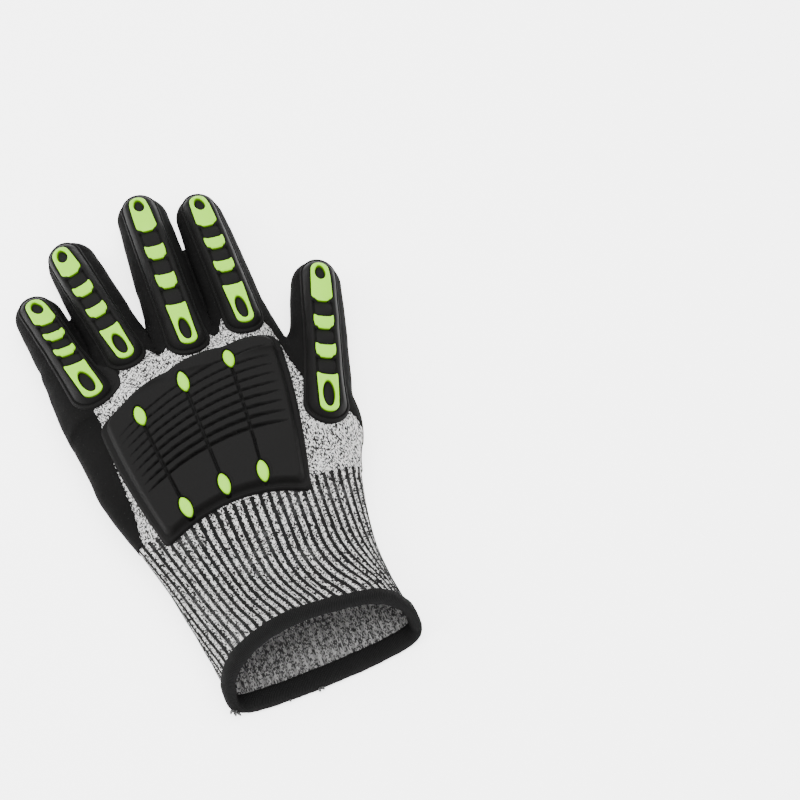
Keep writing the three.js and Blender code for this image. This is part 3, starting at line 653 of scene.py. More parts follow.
def tube_points(y, turn, grow):
    """Points of the tube's skin, grow outside it. The section is a superellipse whose lower half
    is deeper than the table allows, so that it is cut flat there, and it leans back with height."""
    s = section_at(y)
    c, up = np.cos(turn), np.sin(turn)
    power = 2 / SQUARENESS
    half = (s["right"] - s["left"]) / 2 + grow
    tall = np.where(up > 0, s["top"] - s["side"], s["side"] * FLATTENING) + grow
    x = (s["left"] + s["right"]) / 2 + np.sign(c) * half * np.abs(c) ** power
    z = s["side"] + np.sign(up) * tall * np.abs(up) ** power
    place = y + s["lean"] * (z - s["floor"]) / (s["top"] - s["floor"])
    z = z - np.where(place < WRIST_Y, dent_depth(x, place), 0) * np.maximum(up, 0)
    return np.stack([x, place, np.maximum(z, s["floor"] - grow)], -1)


def back_height(x, y):
    """Height of the back of the hand over a point, without the fingers."""
    s = section_at(y)
    half = (s["right"] - s["left"]) / 2
    across = np.minimum(np.abs(x - (s["left"] + s["right"]) / 2) / half, 0.98)
    arc = (1 - across**SQUARENESS) ** (1 / SQUARENESS)
    return s["side"] + (s["top"] - s["side"]) * arc


print("tube", SECTIONS["y"][0], "to", SECTIONS["y"][-1])

# %% Frames of the fingers
FINGER_COLUMNS = ("x", "y", "length", "width", "height", "heading", "roll")
FINGER_ROWS = {
    "little": (-45.4, 20.4, 80.6, 22.8, 19.3, 8.8, -12),
    "ring": (-19.2, 20.4, 106.0, 25.0, 20.6, 8.8, 11),
    "middle": (1.0, 20.4, 119.6, 26.2, 21.0, -2.8, -8),
    "index": (29.4, 20.4, 109.0, 24.5, 21.0, -2.0, -10),
    "thumb": (44.3, -22.8, 95.4, 25.5, 21.8, -19.2, -16),
}
# how far a finger arches up in the middle, and the dome's length over the finger's height
FINGER_ARCH = 1.5
DOME = 0.62
# a finger is widest a quarter of the way along, and slims towards its tip
GIRTH_PLACES = (0, 0.25, 0.5, 0.75, 0.88)
GIRTHS = (1.04, 1.08, 1.05, 0.98, 0.93)


def rotation(heading, roll):
    """The matrix that rolls about Y and then turns about Z, in degrees."""
    h, r = math.radians(heading), math.radians(-roll)
    turn = np.array([[math.cos(h), -math.sin(h), 0], [math.sin(h), math.cos(h), 0], [0, 0, 1]])
    tip = np.array([[math.cos(r), 0, math.sin(r)], [0, 1, 0], [-math.sin(r), 0, math.cos(r)]])
    return turn @ tip


def finger_frame(name):
    """A finger's sizes with its rotation, its root and how far its root rises to the back. Its
    straight part ends where the dome of the tip begins."""
    f = dict(zip(FINGER_COLUMNS, FINGER_ROWS[name]), name=name)
    axis = (f["height"] - FINGER_ARCH) / 2
    f["turn"] = rotation(f["heading"], f["roll"])
    f["root"] = np.array([f["x"], f["y"], axis])
    f["dome"] = f["height"] * DOME
    f["straight"] = f["length"] - f["dome"]
    f["rise"] = max(float(back_height(f["x"], f["y"])) - axis - f["height"] / 2, 0)
    return f


FINGERS = [finger_frame(name) for name in FINGER_ROWS]


def finger_section(f, along):
    """Half width, half height and axis height at a distance along the finger."""
    share = along / f["length"]
    girth = np.interp(share, GIRTH_PLACES, GIRTHS)
    arch = FINGER_ARCH * (np.sin(np.pi * np.clip(share, 0, 1)) - share)
    axis = f["rise"] * (1 - share) ** 2 + arch
    return f["width"] / 2 * girth, f["height"] / 2 * girth, axis


def finger_points(f, along, wrap, round_turn):
    """Points of a finger: an ellipse round its axis at a distance along it, closed at the tip by
    turning the ellipse over through the angle wrap."""
    half, up, axis = finger_section(f, along)
    local = np.stack(
        [
            half * np.sin(round_turn) * np.cos(wrap),
            along + f["dome"] * np.sin(wrap),
            axis + up * np.cos(round_turn) * np.cos(wrap),
        ],
        -1,
    )
    return local @ f["turn"].T + f["root"]


print("fingers", [(f["name"], round(f["rise"], 1)) for f in FINGERS])

# %% [markdown]
# ## One blended skin
#
# Knitted cloth has no hard corner where a finger leaves the palm. A mesh of the tube and the
# fingers would have one, so each form is also written as a distance: how far a point lies outside
# it. The distances are joined by a smooth minimum, which rounds the hollow between two forms,
# and the skin is where the joined distance is zero. Neighbouring fingers press against each
# other instead, so a narrow groove parts them. Soft creases are added to the distance too.
#
# The rough mesh comes from a voxel remesh of the overlapping tubes. Its points are then drawn
# onto the skin along the slope of the distance, a few steps of Newton's method.

# %% Distances
SKIN_BLEND = 7.0
TABLE_BLEND = 2.2
WEB_BLEND = 2.0
FINGER_GROOVE = 0.9
FINGER_GROOVE_REACH = 1.3
LEAST_SLOPE = 0.03


def smooth_least(a, b, reach):
    """The lesser of two distances, rounded where they are within reach of each other."""
    share = np.clip(0.5 + 0.5 * (b - a) / reach, 0, 1)
    return b * (1 - share) + a * share - reach * share * (1 - share)


def oval_distance(across, up, half, tall, power):
    """About the distance to a superellipse: its level minus 1, over the slope of the level. It is
    never less than how far the point lies beyond the oval's side or top."""
    a, b = np.abs(across), np.abs(up)
    level = np.maximum((a / half) ** power + (b / tall) ** power, 1e-4) ** (1 / power)
    slope = level ** (1 - power) * np.hypot(
        a ** (power - 1) / half**power, b ** (power - 1) / tall**power
    )
    beyond = np.maximum(a - half, b - tall)
    return np.maximum((level - 1) / np.maximum(slope, LEAST_SLOPE), beyond)


def tube_distance(p):
    """The tube's oval, cut off softly at the floor and at the webs."""
    s = section_at(np.clip(p[:, 1], MOUTH_Y, WEB_Y))
    across = p[:, 0] - (s["left"] + s["right"]) / 2
    up = p[:, 2] - s["side"]
    tall = np.where(up > 0, s["top"] - s["side"], s["side"] * FLATTENING)
    side = oval_distance(across, up, (s["right"] - s["left"]) / 2, tall, SQUARENESS)
    lifted = -smooth_least(-side, p[:, 2] - s["floor"], TABLE_BLEND)
    return -smooth_least(-lifted, WEB_Y - p[:, 1], WEB_BLEND)


def finger_distance(f, p):
    """An ellipse round the finger's axis, with its excess along the axis past the dome's start."""
    q = (p - f["root"]) @ f["turn"]
    along = np.clip(q[:, 1], 0, f["straight"])
    half, up, axis = finger_section(f, along)
    past = np.maximum(q[:, 1] - f["straight"], 0) / f["dome"]
    across, above = q[:, 0] / half, (q[:, 2] - axis) / up
    level = np.sqrt(np.maximum(across**2 + above**2 + past**2, 1e-6))
    slope = np.sqrt((across / half) ** 2 + (above / up) ** 2 + (past / f["dome"]) ** 2) / level
    behind = -q[:, 1]
    side = np.maximum((level - 1) / np.maximum(slope, LEAST_SLOPE), behind)
    return -smooth_least(-side, p[:, 2], TABLE_BLEND)


print("distances ready")

# %% Creases and the skin
CREASE_ROWS = (
    # finger, place along it in mm, depth, width
    ("little", 38, 0.2, 3.5),
    ("ring", 50, 0.2, 4.0),
    ("middle", 57, 0.2, 4.0),
    ("index", 51, 0.2, 4.0),
    ("thumb", 46, 0.25, 4.5),
)
CREASE_SLANT = 0.25
RUMPLE = 0.22
RUMPLE_ROWS = (
    # radians a millimetre along x, y, z
    (0.21, 0.05, 0.12),
    (-0.08, 0.23, 0.17),
    (0.33, 0.19, -0.1),
    (0.14, -0.31, 0.22),
    (0.47, 0.12, 0.31),
    (-0.26, 0.44, 0.09),
)


def rumple(p):
    """Slight unevenness of the cloth: a sum of slow sine waves in several directions."""
    waves = np.sin(p @ np.array(RUMPLE_ROWS).T + np.arange(len(RUMPLE_ROWS)) * 1.7)
    return RUMPLE * waves.mean(-1)


def crease(p):
    """Grooves across the fingers where they bend, slanted a little with height."""
    depth = 0
    for name, place, deep, width in CREASE_ROWS:
        f = next(f for f in FINGERS if f["name"] == name)
        q = (p - f["root"]) @ f["turn"]
        near = np.exp(-(((q[:, 1] - place - CREASE_SLANT * q[:, 2]) / width) ** 2))
        close = smooth_step(f["width"], f["width"] * 0.55, np.abs(q[:, 0]))
        depth = depth + deep * near * close
    return depth


def skin_distance(p):
    """The fingers joined with a groove between neighbours, then joined softly to the tube, with
    creases and rumples pressed in above the resting face."""
    fingers = finger_distance(FINGERS[0], p)
    for f in FINGERS[1:]:
        other = finger_distance(f, p)
        groove = FINGER_GROOVE * np.exp(-(((fingers - other) / FINGER_GROOVE_REACH) ** 2))
        least = np.minimum(fingers, other)
        fingers = least + groove * smooth_step(4, -1, least)
    joined = smooth_least(tube_distance(p), fingers, SKIN_BLEND)
    lying = smooth_step(1.0, 5.0, p[:, 2])
    return joined + (crease(p) + rumple(p)) * lying


def skin_slope(p, step=0.05):
    """The unit direction in which the distance grows, from small steps to both sides."""
    slope = np.stack(
        [
            skin_distance(p + step * axis) - skin_distance(p - step * axis)
            for axis in np.eye(3)
        ],
        -1,
    ) / (2 * step)
    return slope / np.maximum(np.linalg.norm(slope, axis=1, keepdims=True), 1e-6)


def draw_to_skin(p, grow=0.0, steps=5):
    """Moves points along the slope until their distance is grow."""
    for _ in range(steps):
        p = p - skin_slope(p) * np.clip(skin_distance(p) - grow, -1.5, 1.5)[:, None]
    return p


print("skin ready")

# %% The rough hand from tubes
VOXEL = 1.08
HAND_START = WRIST_Y - 9
TUBE_LOOPS = 60
TUBE_SIDES = 96
FINGER_LOOPS = 40
DOME_LOOPS = 12
FINGER_SIDES = 48
DOME_TURNS = (0.05, 1.45)


def rough_tube():
    """Loops of the tube from behind the wrist to the webs."""
    y = np.concatenate([[HAND_START], np.linspace(WRIST_Y, WEB_Y - 0.5, TUBE_LOOPS)])
    turn = np.linspace(0, 2 * np.pi, TUBE_SIDES, endpoint=False)
    points = tube_points(y[:, None] + 0 * turn, turn + 0 * y[:, None], 0.0)
    return capped(points, len(y), TUBE_SIDES)


def rough_finger(f):
    """Loops along the finger and over its dome."""
    straight = np.linspace(0, f["straight"], FINGER_LOOPS)
    along = np.concatenate([straight, np.full(DOME_LOOPS, f["straight"])])[:, None]
    wrap = np.concatenate([np.zeros(FINGER_LOOPS), np.linspace(*DOME_TURNS, DOME_LOOPS)])[:, None]
    turn = np.linspace(0, 2 * np.pi, FINGER_SIDES, endpoint=False)
    points = finger_points(f, along + 0 * turn, wrap + 0 * turn, turn + 0 * along)
    points[..., 2] = np.maximum(points[..., 2], 0)
    return capped(points, len(along), FINGER_SIDES)


def gathered(parts):
    """Several point and face lists as one."""
    points, faces, count = [], [], 0
    for some_points, some_faces in parts:
        points.append(some_points)
        faces.extend(f + count for f in some_faces)
        count += len(some_points)
    return np.concatenate(points), faces


def remeshed(points, faces):
    """The joined outside of overlapping closed shells, as triangles, by a voxel remesh."""
    rough = make_piece("rough", points, faces, [])
    modifier = rough.modifiers.new("voxels", "REMESH")
    modifier.mode = "VOXEL"
    modifier.voxel_size = VOXEL * MM
    modifier.adaptivity = 0
    depsgraph = bpy.context.evaluated_depsgraph_get()
    mesh = rough.evaluated_get(depsgraph).to_mesh()
    mesh.calc_loop_triangles()
    co = np.empty(len(mesh.vertices) * 3)
    mesh.vertices.foreach_get("co", co)
    triangles = np.empty(len(mesh.loop_triangles) * 3, dtype=np.int64)
    mesh.loop_triangles.foreach_get("vertices", triangles)
    bpy.data.objects.remove(rough)
    return co.reshape(-1, 3) / MM, triangles.reshape(-1, 3)


rough_points, hand_triangles = remeshed(*gathered([rough_tube(), *map(rough_finger, FINGERS)]))
hand_points = draw_to_skin(rough_points)
print("skin points", len(hand_points))

# %% [markdown]
# ## Where the coat ends
#
# The coat's edge is crisp and wavy: it climbs between the fingers, and bare knit shows on the
# back of the hand. The edge is an outline drawn over the hand from above. To cut the mesh exactly
# along it, each point gets a number that is zero on the edge, and every triangle that the edge
# crosses is split where the number is zero.

# %% Cut a mesh along a line


def split_along(points, triangles, value):
    """Points and two lists of triangles, on the low side and the high side of value = 0. Each
    crossed triangle has one corner alone on its side: the cut runs through its two edges there."""
    value = np.where(np.abs(value) < 1e-6, 1e-6, value)
    high = value[triangles] > 0
    crossed = high.any(1) & ~high.all(1)
    mixed, sides = triangles[crossed], high[crossed]
    alone_high = sides.sum(1) == 1
    first = np.argmax(sides == alone_high[:, None], axis=1)
    k = np.arange(len(mixed))
    a, b, c = mixed[k, first], mixed[k, (first + 1) % 3], mixed[k, (first + 2) % 3]
    pairs = np.sort(np.concatenate([np.stack([a, b], 1), np.stack([a, c], 1)]), axis=1)
    edges, place = np.unique(pairs, axis=0, return_inverse=True)
    place = place.ravel() + len(points)
    ends = value[edges]
    share = ends[:, :1] / (ends[:, :1] - ends[:, 1:])
    cut = points[edges[:, 0]] * (1 - share) + points[edges[:, 1]] * share
    ab, ac = place[: len(mixed)], place[len(mixed) :]
    tip = np.stack([a, ab, ac], 1)
    rest = np.concatenate([np.stack([ab, b, c], 1), np.stack([ab, c, ac], 1)])
    twice = np.concatenate([alone_high, alone_high])
    low_side = np.concatenate([triangles[~high.any(1)], tip[~alone_high], rest[twice]])
    high_side = np.concatenate([triangles[high.all(1)], tip[alone_high], rest[~twice]])
    return np.concatenate([points, cut]), low_side, high_side


def compact(points, triangles):
    """Only the points that the triangles use."""
    used, place = np.unique(triangles, return_inverse=True)
    return points[used], place.reshape(triangles.shape)


hand_points, _, hand_triangles = split_along(
    hand_points, hand_triangles, hand_points[:, 1] - WRIST_Y
)
hand_points, hand_triangles = compact(hand_points, hand_triangles)
farthest = float(np.abs(skin_distance(hand_points)).max())
print("hand triangles", len(hand_triangles), "farthest point off the skin in mm", round(farthest, 2))

# %% The coat's edge
KNIT_OUTLINE = (
    # x, y round the bare knit, from the wrist on the little finger's side
    (-44.2, -60.0),
    (-43.4, -46.0),
    (-42.6, -30.0),
    (-43.6, -8.0),
    (-43.6, 12.0),
    (-45.0, 24.0),
    (-46.5, 40.0),
    (-41.0, 41.0),
    (-35.6, 30.0),
    (-31.5, 29.5),
    (-27.0, 38.0),
    (-22.0, 47.0),
    (-15.5, 43.5),
    (-10.0, 37.0),
    (-6.0, 38.5),
    (-2.0, 45.0),
    (5.0, 49.0),
    (11.5, 45.0),
    (15.0, 38.5),
    (18.5, 39.5),
    (22.0, 46.0),
    (29.0, 49.0),
    (37.0, 44.0),
    (41.5, 33.5),
    (42.8, 22.0),
    (44.0, 10.0),
    (45.4, 0.0),
    (44.6, -12.0),
    (48.5, -19.0),
    (56.5, -19.5),
    (61.0, -24.0),
    (62.0, -34.0),
    (62.0, -60.0),
)
EDGE_STEPS = 6
COAT_THICKNESS = 0.4
# the knit ends at this height on the hand's sides, and a little higher towards the fingers
KNIT_LEVEL = 11.5
KNIT_LEVEL_SLOPE = 0.06


def rounded_outline(corners, steps):
    """A closed curve through the corners: a Catmull-Rom cubic between each pair."""
    p = np.array(corners)
    before, after, beyond = np.roll(p, 1, 0), np.roll(p, -1, 0), np.roll(p, -2, 0)
    t = (np.arange(steps) / steps)[:, None, None]
    curve = 0.5 * (
        2 * p
        + (after - before) * t
        + (2 * before - 5 * p + 4 * after - beyond) * t**2
        + (3 * p - before - 3 * after + beyond) * t**3
    )
    return curve.transpose(1, 0, 2).reshape(-1, 2)


def outline_distance(x, y, outline):
    """Distance to a closed outline, negative inside: the least distance to its edges, with the
    sign from how often a line to the right crosses it."""
    a, b = outline, np.roll(outline, -1, 0)
    least = np.full(len(x), 1e9)
    inside = np.zeros(len(x), dtype=bool)
    for (ax, ay), (bx, by) in zip(a, b):
        dx, dy = bx - ax, by - ay
        t = np.clip(((x - ax) * dx + (y - ay) * dy) / (dx * dx + dy * dy + 1e-9), 0, 1)
        least = np.minimum(least, (x - ax - t * dx) ** 2 + (y - ay - t * dy) ** 2)
        spans = (ay > y) != (by > y)
        inside ^= spans & (x < ax + (y - ay) * dx / (dy + 1e-12))
    return np.sqrt(least) * np.where(inside, -1, 1)


knit_edge = rounded_outline(KNIT_OUTLINE, EDGE_STEPS)


def coat_side(p):
    """Positive where the coat lies: outside the knit's outline, made ragged by fine waves, or
    below the knit's level."""
    x, y, z = p.T
    ragged = 0.35 * np.sin(x * 2.1 + y * 1.3) + 0.25 * np.sin(x * 0.9 - y * 2.7)
    plan = outline_distance(x, y, knit_edge) + ragged
    level = KNIT_LEVEL + KNIT_LEVEL_SLOPE * (y + 40) - z
    return np.maximum(plan, level)


coat_value = coat_side(hand_points)
split_points, knit_triangles, coat_triangles = split_along(hand_points, hand_triangles, coat_value)
print("knit", len(knit_triangles), "coat", len(coat_triangles))

# %% [markdown]
# The knit's yarn map is the unrolled cloth: seen from above, distances across the back are true,
# and where the cloth turns down at the side the drop is added to the width. The coat is drawn
# outwards by its thickness, and both are given the thickness of the cloth inwards, so the hand is
# a true shell, open at the wrist.

# %% Knit back and coated hand


def knit_map(p):
    """Columns run along the hand: x grows by the drop below the back's height."""
    s = section_at(p[:, 1])
    middle = (s["left"] + s["right"]) / 2
    drop = np.maximum(s["top"] - p[:, 2], 0) * smooth_step(0.55, 1, np.abs(p[:, 0] - middle) / 54)
    return np.stack([p[:, 0] + np.sign(p[:, 0] - middle) * drop * 0.7, p[:, 1]], -1)


def thicken(piece, thickness):
    """Cloth thickness inwards, with its edge closed."""
    wall = piece.modifiers.new("wall", "SOLIDIFY")
    wall.thickness = thickness * MM
    wall.offset = -1
    wall.use_rim = True
    wall.use_even_offset = False


knit_points, knit_faces = compact(split_points, knit_triangles)
knit_yarn = knit_map(knit_points)[knit_faces]
knit_back = make_piece("knit_skin", knit_points, [knit_faces], [heather_knit], yarn=knit_yarn)
thicken(knit_back, WALL)
settle(knit_back, "heather_knit", "knit_back")

coat_points, coat_faces = compact(split_points, coat_triangles)
lying = coat_points[:, 2] < 0.6
coat_points = coat_points + skin_slope(coat_points) * COAT_THICKNESS
coat_points[:, 2] = np.where(lying, np.maximum(coat_points[:, 2], 0.02), coat_points[:, 2])
coat = make_piece("coated_hand", coat_points, [coat_faces], [sandy_dip])
thicken(coat, WALL + COAT_THICKNESS)
settle(coat, "sandy_dip", "dipped_palm", *[f["name"] + "_stall" for f in FINGERS])

# %% [markdown]
# ## The ribbed cuff
#
# The cuff is a grid: ribs across and places along. Each rib is a smooth wave of the surface, so
# its width follows the cloth. Near the mouth the ribs lean sideways in a soft fold, which is done
# by shifting the wave, not the surface. The grid runs down the outside, turns round the edge
# inside the binding and comes back up the inside.

# %% Cuff
RIBS = 60
RIB_SAMPLES = 8
RIB_DEPTH = 0.75
CUFF_ROWS_OUT = 90
CUFF_ROWS_IN = 44
DENSE = 720
BINDING_WIDTH = 7.0
CUFF_END = MOUTH_Y + 3.0
INSIDE_MAP_SHIFT = 400


def even_turns(y, count):
    """Turns that share a section's outline into equal lengths, by adding up small steps."""
    turn = np.linspace(0, 2 * np.pi, DENSE + 1)
    loop = tube_points(np.full(DENSE + 1, y), turn, 0.0)
    lengths = np.concatenate([[0], np.cumsum(np.linalg.norm(np.diff(loop, axis=0), axis=1))])
    want = lengths[-1] * np.arange(count + 1) / count
    return np.interp(want, lengths, turn), lengths[-1]


def rib_shift(share, along):
    """How far, in ribs, the pattern slides round the cuff: a fold at the mouth's thumb side."""
    fold = np.exp(-(((share - 0.13) / 0.09) ** 2)) * smooth_step(0.35, 0.85, along)
    sway = 0.5 * np.sin(along * 4.0 + share * 9.0) * np.exp(-(((share - 0.25) / 0.18) ** 2))
    return 1.6 * fold + sway


def cuff_surface():
    """Rows outside from the wrist to the mouth's edge, then rows inside back to the wrist. The
    inside has its yarn map far from the outside's, so that their yarns differ."""
    out_y = np.linspace(WRIST_Y + 0.4, CUFF_END, CUFF_ROWS_OUT)
    in_y = np.linspace(CUFF_END, WRIST_Y + 0.4, CUFF_ROWS_IN)
    y = np.concatenate([out_y, in_y])
    outside = np.arange(len(y)) < CUFF_ROWS_OUT
    count = RIBS * RIB_SAMPLES
    share = np.arange(count + 1) / count
    rows, maps = [], []
    for place, is_out in zip(y, outside):
        turns, _ = even_turns(place, count)
        along = (WRIST_Y - place) / (WRIST_Y - MOUTH_Y)
        phase = share * RIBS + rib_shift(share, along)
        wave = 0.5 + 0.5 * np.cos(2 * np.pi * phase)
        fade = smooth_step(-0.01, 0.06, along)
        depth = RIB_DEPTH * fade * (1 - wave**0.8)
        grow = -0.25 - depth if is_out else -WALL + 0.3 * RIB_DEPTH * wave
        rows.append(tube_points(np.full(count, place), turns[:-1], grow[:-1]))
        row = place - (0 if is_out else INSIDE_MAP_SHIFT)
        maps.append(np.stack([phase + 0.5, np.full(count + 1, row)], -1))
    return np.array(rows), np.array(maps), outside


cuff_rows, cuff_maps, cuff_outside = cuff_surface()
cuff_faces, cuff_corners = grid_faces(len(cuff_rows), cuff_rows.shape[1])
seam = len(cuff_rows) - 1
columns = np.arange(cuff_rows.shape[1])
ahead = (columns + 1) % len(columns)
closing = np.stack(
    [seam * len(columns) + columns, seam * len(columns) + ahead, ahead, columns], -1
)
cuff_yarn = np.concatenate(
    [cuff_maps.reshape(-1, 2)[cuff_corners], np.zeros((len(closing), 4, 2))]
)
inside_face = np.concatenate(
    [np.repeat(~cuff_outside[:-1], len(columns)), np.ones(len(columns), dtype=bool)]
)
cuff = make_piece(
    "striped_cuff",
    cuff_rows.reshape(-1, 3),
    [np.concatenate([cuff_faces, closing])],
    [striped_rib, cuff_inside],
    yarn=cuff_yarn,
    kinds=inside_face.astype(int),
)
settle(cuff, "striped_rib", "rib_cuff")

# %% [markdown]
# ## The bound mouth
#
# The cuff's raw edge is covered by a rolled band of thread. It is one closed profile, a fat
# rounded oblong, carried round the mouth. Its size breathes a little along the way, as thread
# that was laid by a machine does, and frayed thread ends stand out where the seam was closed.

# %% Binding
BAND_STEPS = 420
BAND_SIDES = 26
BAND_THICK = 2.35
BAND_HALF = BINDING_WIDTH / 2
BAND_POWER = 0.72


def band_surface():
    """A rounded oblong round the cuff's edge at each step. Its centre lies in the cloth's middle,
    and slow and quick waves along the mouth change its thickness."""
    turns, length = even_turns(MOUTH_Y + 2.8, BAND_STEPS)
    turns = turns[:-1, None]
    around = np.linspace(0, 2 * np.pi, BAND_SIDES, endpoint=False)
    share = np.arange(BAND_STEPS)[:, None] / BAND_STEPS
    swell = 1 + 0.05 * np.sin(share * 61) + 0.04 * np.sin(share * 143 + 1)
    swell = swell + 0.03 * np.sin(share * 391 + 2 * np.sin(share * 47 + around * 2))
    c, s = np.cos(around), np.sin(around)
    off = -WALL / 2 + BAND_THICK * swell * np.sign(c) * np.abs(c) ** BAND_POWER
    along = BAND_HALF * (1 + np.sign(s) * np.abs(s) ** BAND_POWER)
    shape = (BAND_STEPS, BAND_SIDES)
    flat_turns = np.broadcast_to(turns, shape)
    at_mouth = tube_points(np.full(shape, MOUTH_Y), flat_turns, off)
    behind = tube_points(np.full(shape, MOUTH_Y + BINDING_WIDTH), flat_turns, off)
    points = at_mouth + (behind - at_mouth) * (along / BINDING_WIDTH)[..., None]
    u = np.arange(BAND_STEPS + 1)[:, None] * length / BAND_STEPS + np.zeros(BAND_SIDES + 1)
    v = np.zeros((BAND_STEPS + 1, 1)) + np.arange(BAND_SIDES + 1) * (4 * BAND_HALF / BAND_SIDES)
    return points, np.stack([u, v], -1)


band_points, band_map = band_surface()
band_faces, band_corners = grid_faces(BAND_STEPS + 1, BAND_SIDES)
band = make_piece(
    "mouth_binding",
    band_points.reshape(-1, 3),
    [band_faces % (BAND_STEPS * BAND_SIDES)],
    [black_binding],
    yarn=band_map.reshape(-1, 2)[band_corners],
)
settle(band, "black_binding", "cuff_binding")

# %% Thread ends
THREAD_ROWS = (
    # x, y, z near the point of the band that it leaves, how far it runs, and its radius
    (-32.0, -124.6, 5.0, -0.6, -1.5, -1.9, 0.75),
    (-33.0, -123.6, 6.0, -1.3, -0.9, -1.6, 0.7),
    (-31.0, -125.0, 3.8, 0.5, -1.5, -1.5, 0.6),
    (3.2, -126.0, 2.2, 0.5, -1.3, -0.3, 0.8),
    (4.6, -126.0, 2.2, 0.9, -1.1, 0.2, 0.65),
    (-9.0, -126.0, 2.2, 0.4, -0.9, -0.1, 0.6),
)
THREAD_STEPS = 14
THREAD_SIDES = 8
THREAD_THINNING = 0.6
THREAD_SUNK = 0.15


def thread(x, y, z, run_x, run_y, run_z, radius):
    """A short tube along a curve that bends and thins towards its frayed end. It starts inside
    the band, at the band's point nearest to x, y, z."""
    t = np.linspace(0, 1, THREAD_STEPS)[:, None]
    sway = 2 * np.sin(t * 5.0 + x) * (1 - t) * t
    run = np.array([run_x, run_y, run_z])
    band = band_points.reshape(-1, 3)
    start = band[np.argmin(((band - (x, y, z)) ** 2).sum(1))] - run * THREAD_SUNK
    line = start + t * run + sway * (run_y, -run_x, 0.4) * 0.25
    ahead = np.gradient(line, axis=0)
    ahead /= np.linalg.norm(ahead, axis=1, keepdims=True)
    aside = np.cross(ahead, (0, 0, 1.0))
    aside /= np.linalg.norm(aside, axis=1, keepdims=True)
    above = np.cross(aside, ahead)
    turn = np.linspace(0, 2 * np.pi, THREAD_SIDES, endpoint=False)[:, None]
    reach = radius * (1 - THREAD_THINNING * t[:, :, None] ** 2)
    loop = aside[:, None] * np.cos(turn) - above[:, None] * np.sin(turn)
    points = line[:, None] + loop * reach
    points[..., 2] = np.maximum(points[..., 2], 0.1)
    return capped(points, THREAD_STEPS, THREAD_SIDES)


thread_points, thread_faces = gathered([thread(*row) for row in THREAD_ROWS])
threads = make_piece("binding_threads", thread_points, thread_faces, [binding_thread])
settle(threads, "black_binding")

# %% [markdown]
# ## Rubber plates on the skin
#
# A guard is a plate that hugs its finger. Its surface is a grid: once round its outline, and from
# the edge in to its spine. At each point the distance to the edge gives the height: a thin lip
# with a raised line, a rounded shoulder and the crown. The foot of every point is found on the
# blended skin by halving the interval between a point inside it and a point outside it, so no
# plate floats over a hollow. On the real glove each guard is pressed on by hand, so it lies a
# millimetre or two beside its finger's middle line, and not by as much at both its ends.

# %% Guard outlines and feet
GUARD_WIDTH = 19.4
GUARD_HEIGHT = 4.9
TIP_WRAP = math.radians(50)
KNUCKLE_WIDTH = 86.0
KNUCKLE_LENGTH = 80.0
KNUCKLE_LOW = WRIST_Y - 7.0
KNUCKLE_BOW = 8.0
KNUCKLE_HOLLOW = 7.5
PLATE_SKEW = 0.1
# the plate's half width over its full width on its two sides, and how much it narrows to the
# wrist, by a power of the distance from its finger edge
PLATE_SIDES = (-0.525, 0.497)
PLATE_NARROWING = (0.128, -0.155)
PLATE_POWER = 1.6
GUARD_ROWS = {
    # share of the width, clearance to the knuckle guard, ends of the tip and base inlays, and
    # how far the guard is bonded beside the finger's middle line at its two ends
    "little": (0.88, 9.5, 0.305, 0.668, -1.7, 0.2),
    "ring": (0.95, 11.8, 0.29, 0.725, -1.1, 2.5),
    "middle": (1.0, 1.5, 0.28, 0.735, -1.7, 0.0),
    "index": (0.96, 2.2, 0.29, 0.71, -1.0, -1.0),
    "thumb": (0.96, None, 0.315, 0.75, -1.0, -0.4),
}
THUMB_GUARD_START = -1.9


def plate_points(across, along):
    """The knuckle guard's plan from its own two coordinates between -1 and 1."""
    up = (along + 1) / 2
    side = np.where(across < 0, *PLATE_SIDES)
    narrow = np.where(across < 0, *PLATE_NARROWING) * (1 - up) ** PLATE_POWER
    x = KNUCKLE_WIDTH * np.abs(across) * (side + narrow)
    lower = KNUCKLE_LOW + KNUCKLE_HOLLOW * (1 - across**2)
    upper = KNUCKLE_LOW + KNUCKLE_LENGTH - KNUCKLE_BOW * across**2
    upper = upper + PLATE_SKEW * KNUCKLE_WIDTH * across
    return x, lower + (upper - lower) * up


def guard_frame(f):
    """The guard's length over the finger and its tip, its half width and its inlays' places."""
    share, near, tip, base, far_side, near_side = GUARD_ROWS[f["name"]]
    bend = (f["dome"] + f["height"] / 2) / 2
    edge_y = float(plate_points(np.clip(2 * f["x"] / KNUCKLE_WIDTH, -1, 1), 1.0)[1])
    start = THUMB_GUARD_START if near is None else edge_y - f["y"] + near
    wrap = TIP_WRAP * bend
    return {
        "bend": bend,
        "wrap": wrap,
        "length": f["straight"] - start + wrap,
        "half": share * GUARD_WIDTH / 2,
        "tip": tip,
        "base": base,
        "sides": (far_side, near_side),
    }


def guard_points(f, g, t, s, height):
    """A point of a guard: s runs back from the fingertip and t across, both along the skin."""
    turn = np.maximum(g["wrap"] - s, 0) / g["bend"]
    along = f["straight"] - np.maximum(s - g["wrap"], 0)
    half, up, axis = finger_section(f, along)
    lean = (t + np.interp(s, (0, g["length"]), g["sides"])) / half
    local = np.stack(
        [
            (half + height) * np.sin(lean),
            along + (f["dome"] + height) * np.sin(turn) * np.cos(lean),
            axis + (up + height) * np.cos(turn) * np.cos(lean),
        ],
        -1,
    )
    return local @ f["turn"].T + f["root"]


def feet(place, shape, low=-4.0, high=9.0, halvings=18):
    """For every point, the height at which place(height) crosses the skin."""
    a, b = np.full(shape, low), np.full(shape, high)
    for _ in range(halvings):
        middle = (a + b) / 2
        outside = skin_distance(place(middle).reshape(-1, 3)).reshape(shape) > 0
        a, b = np.where(outside, a, middle), np.where(outside, middle, b)
    return (a + b) / 2


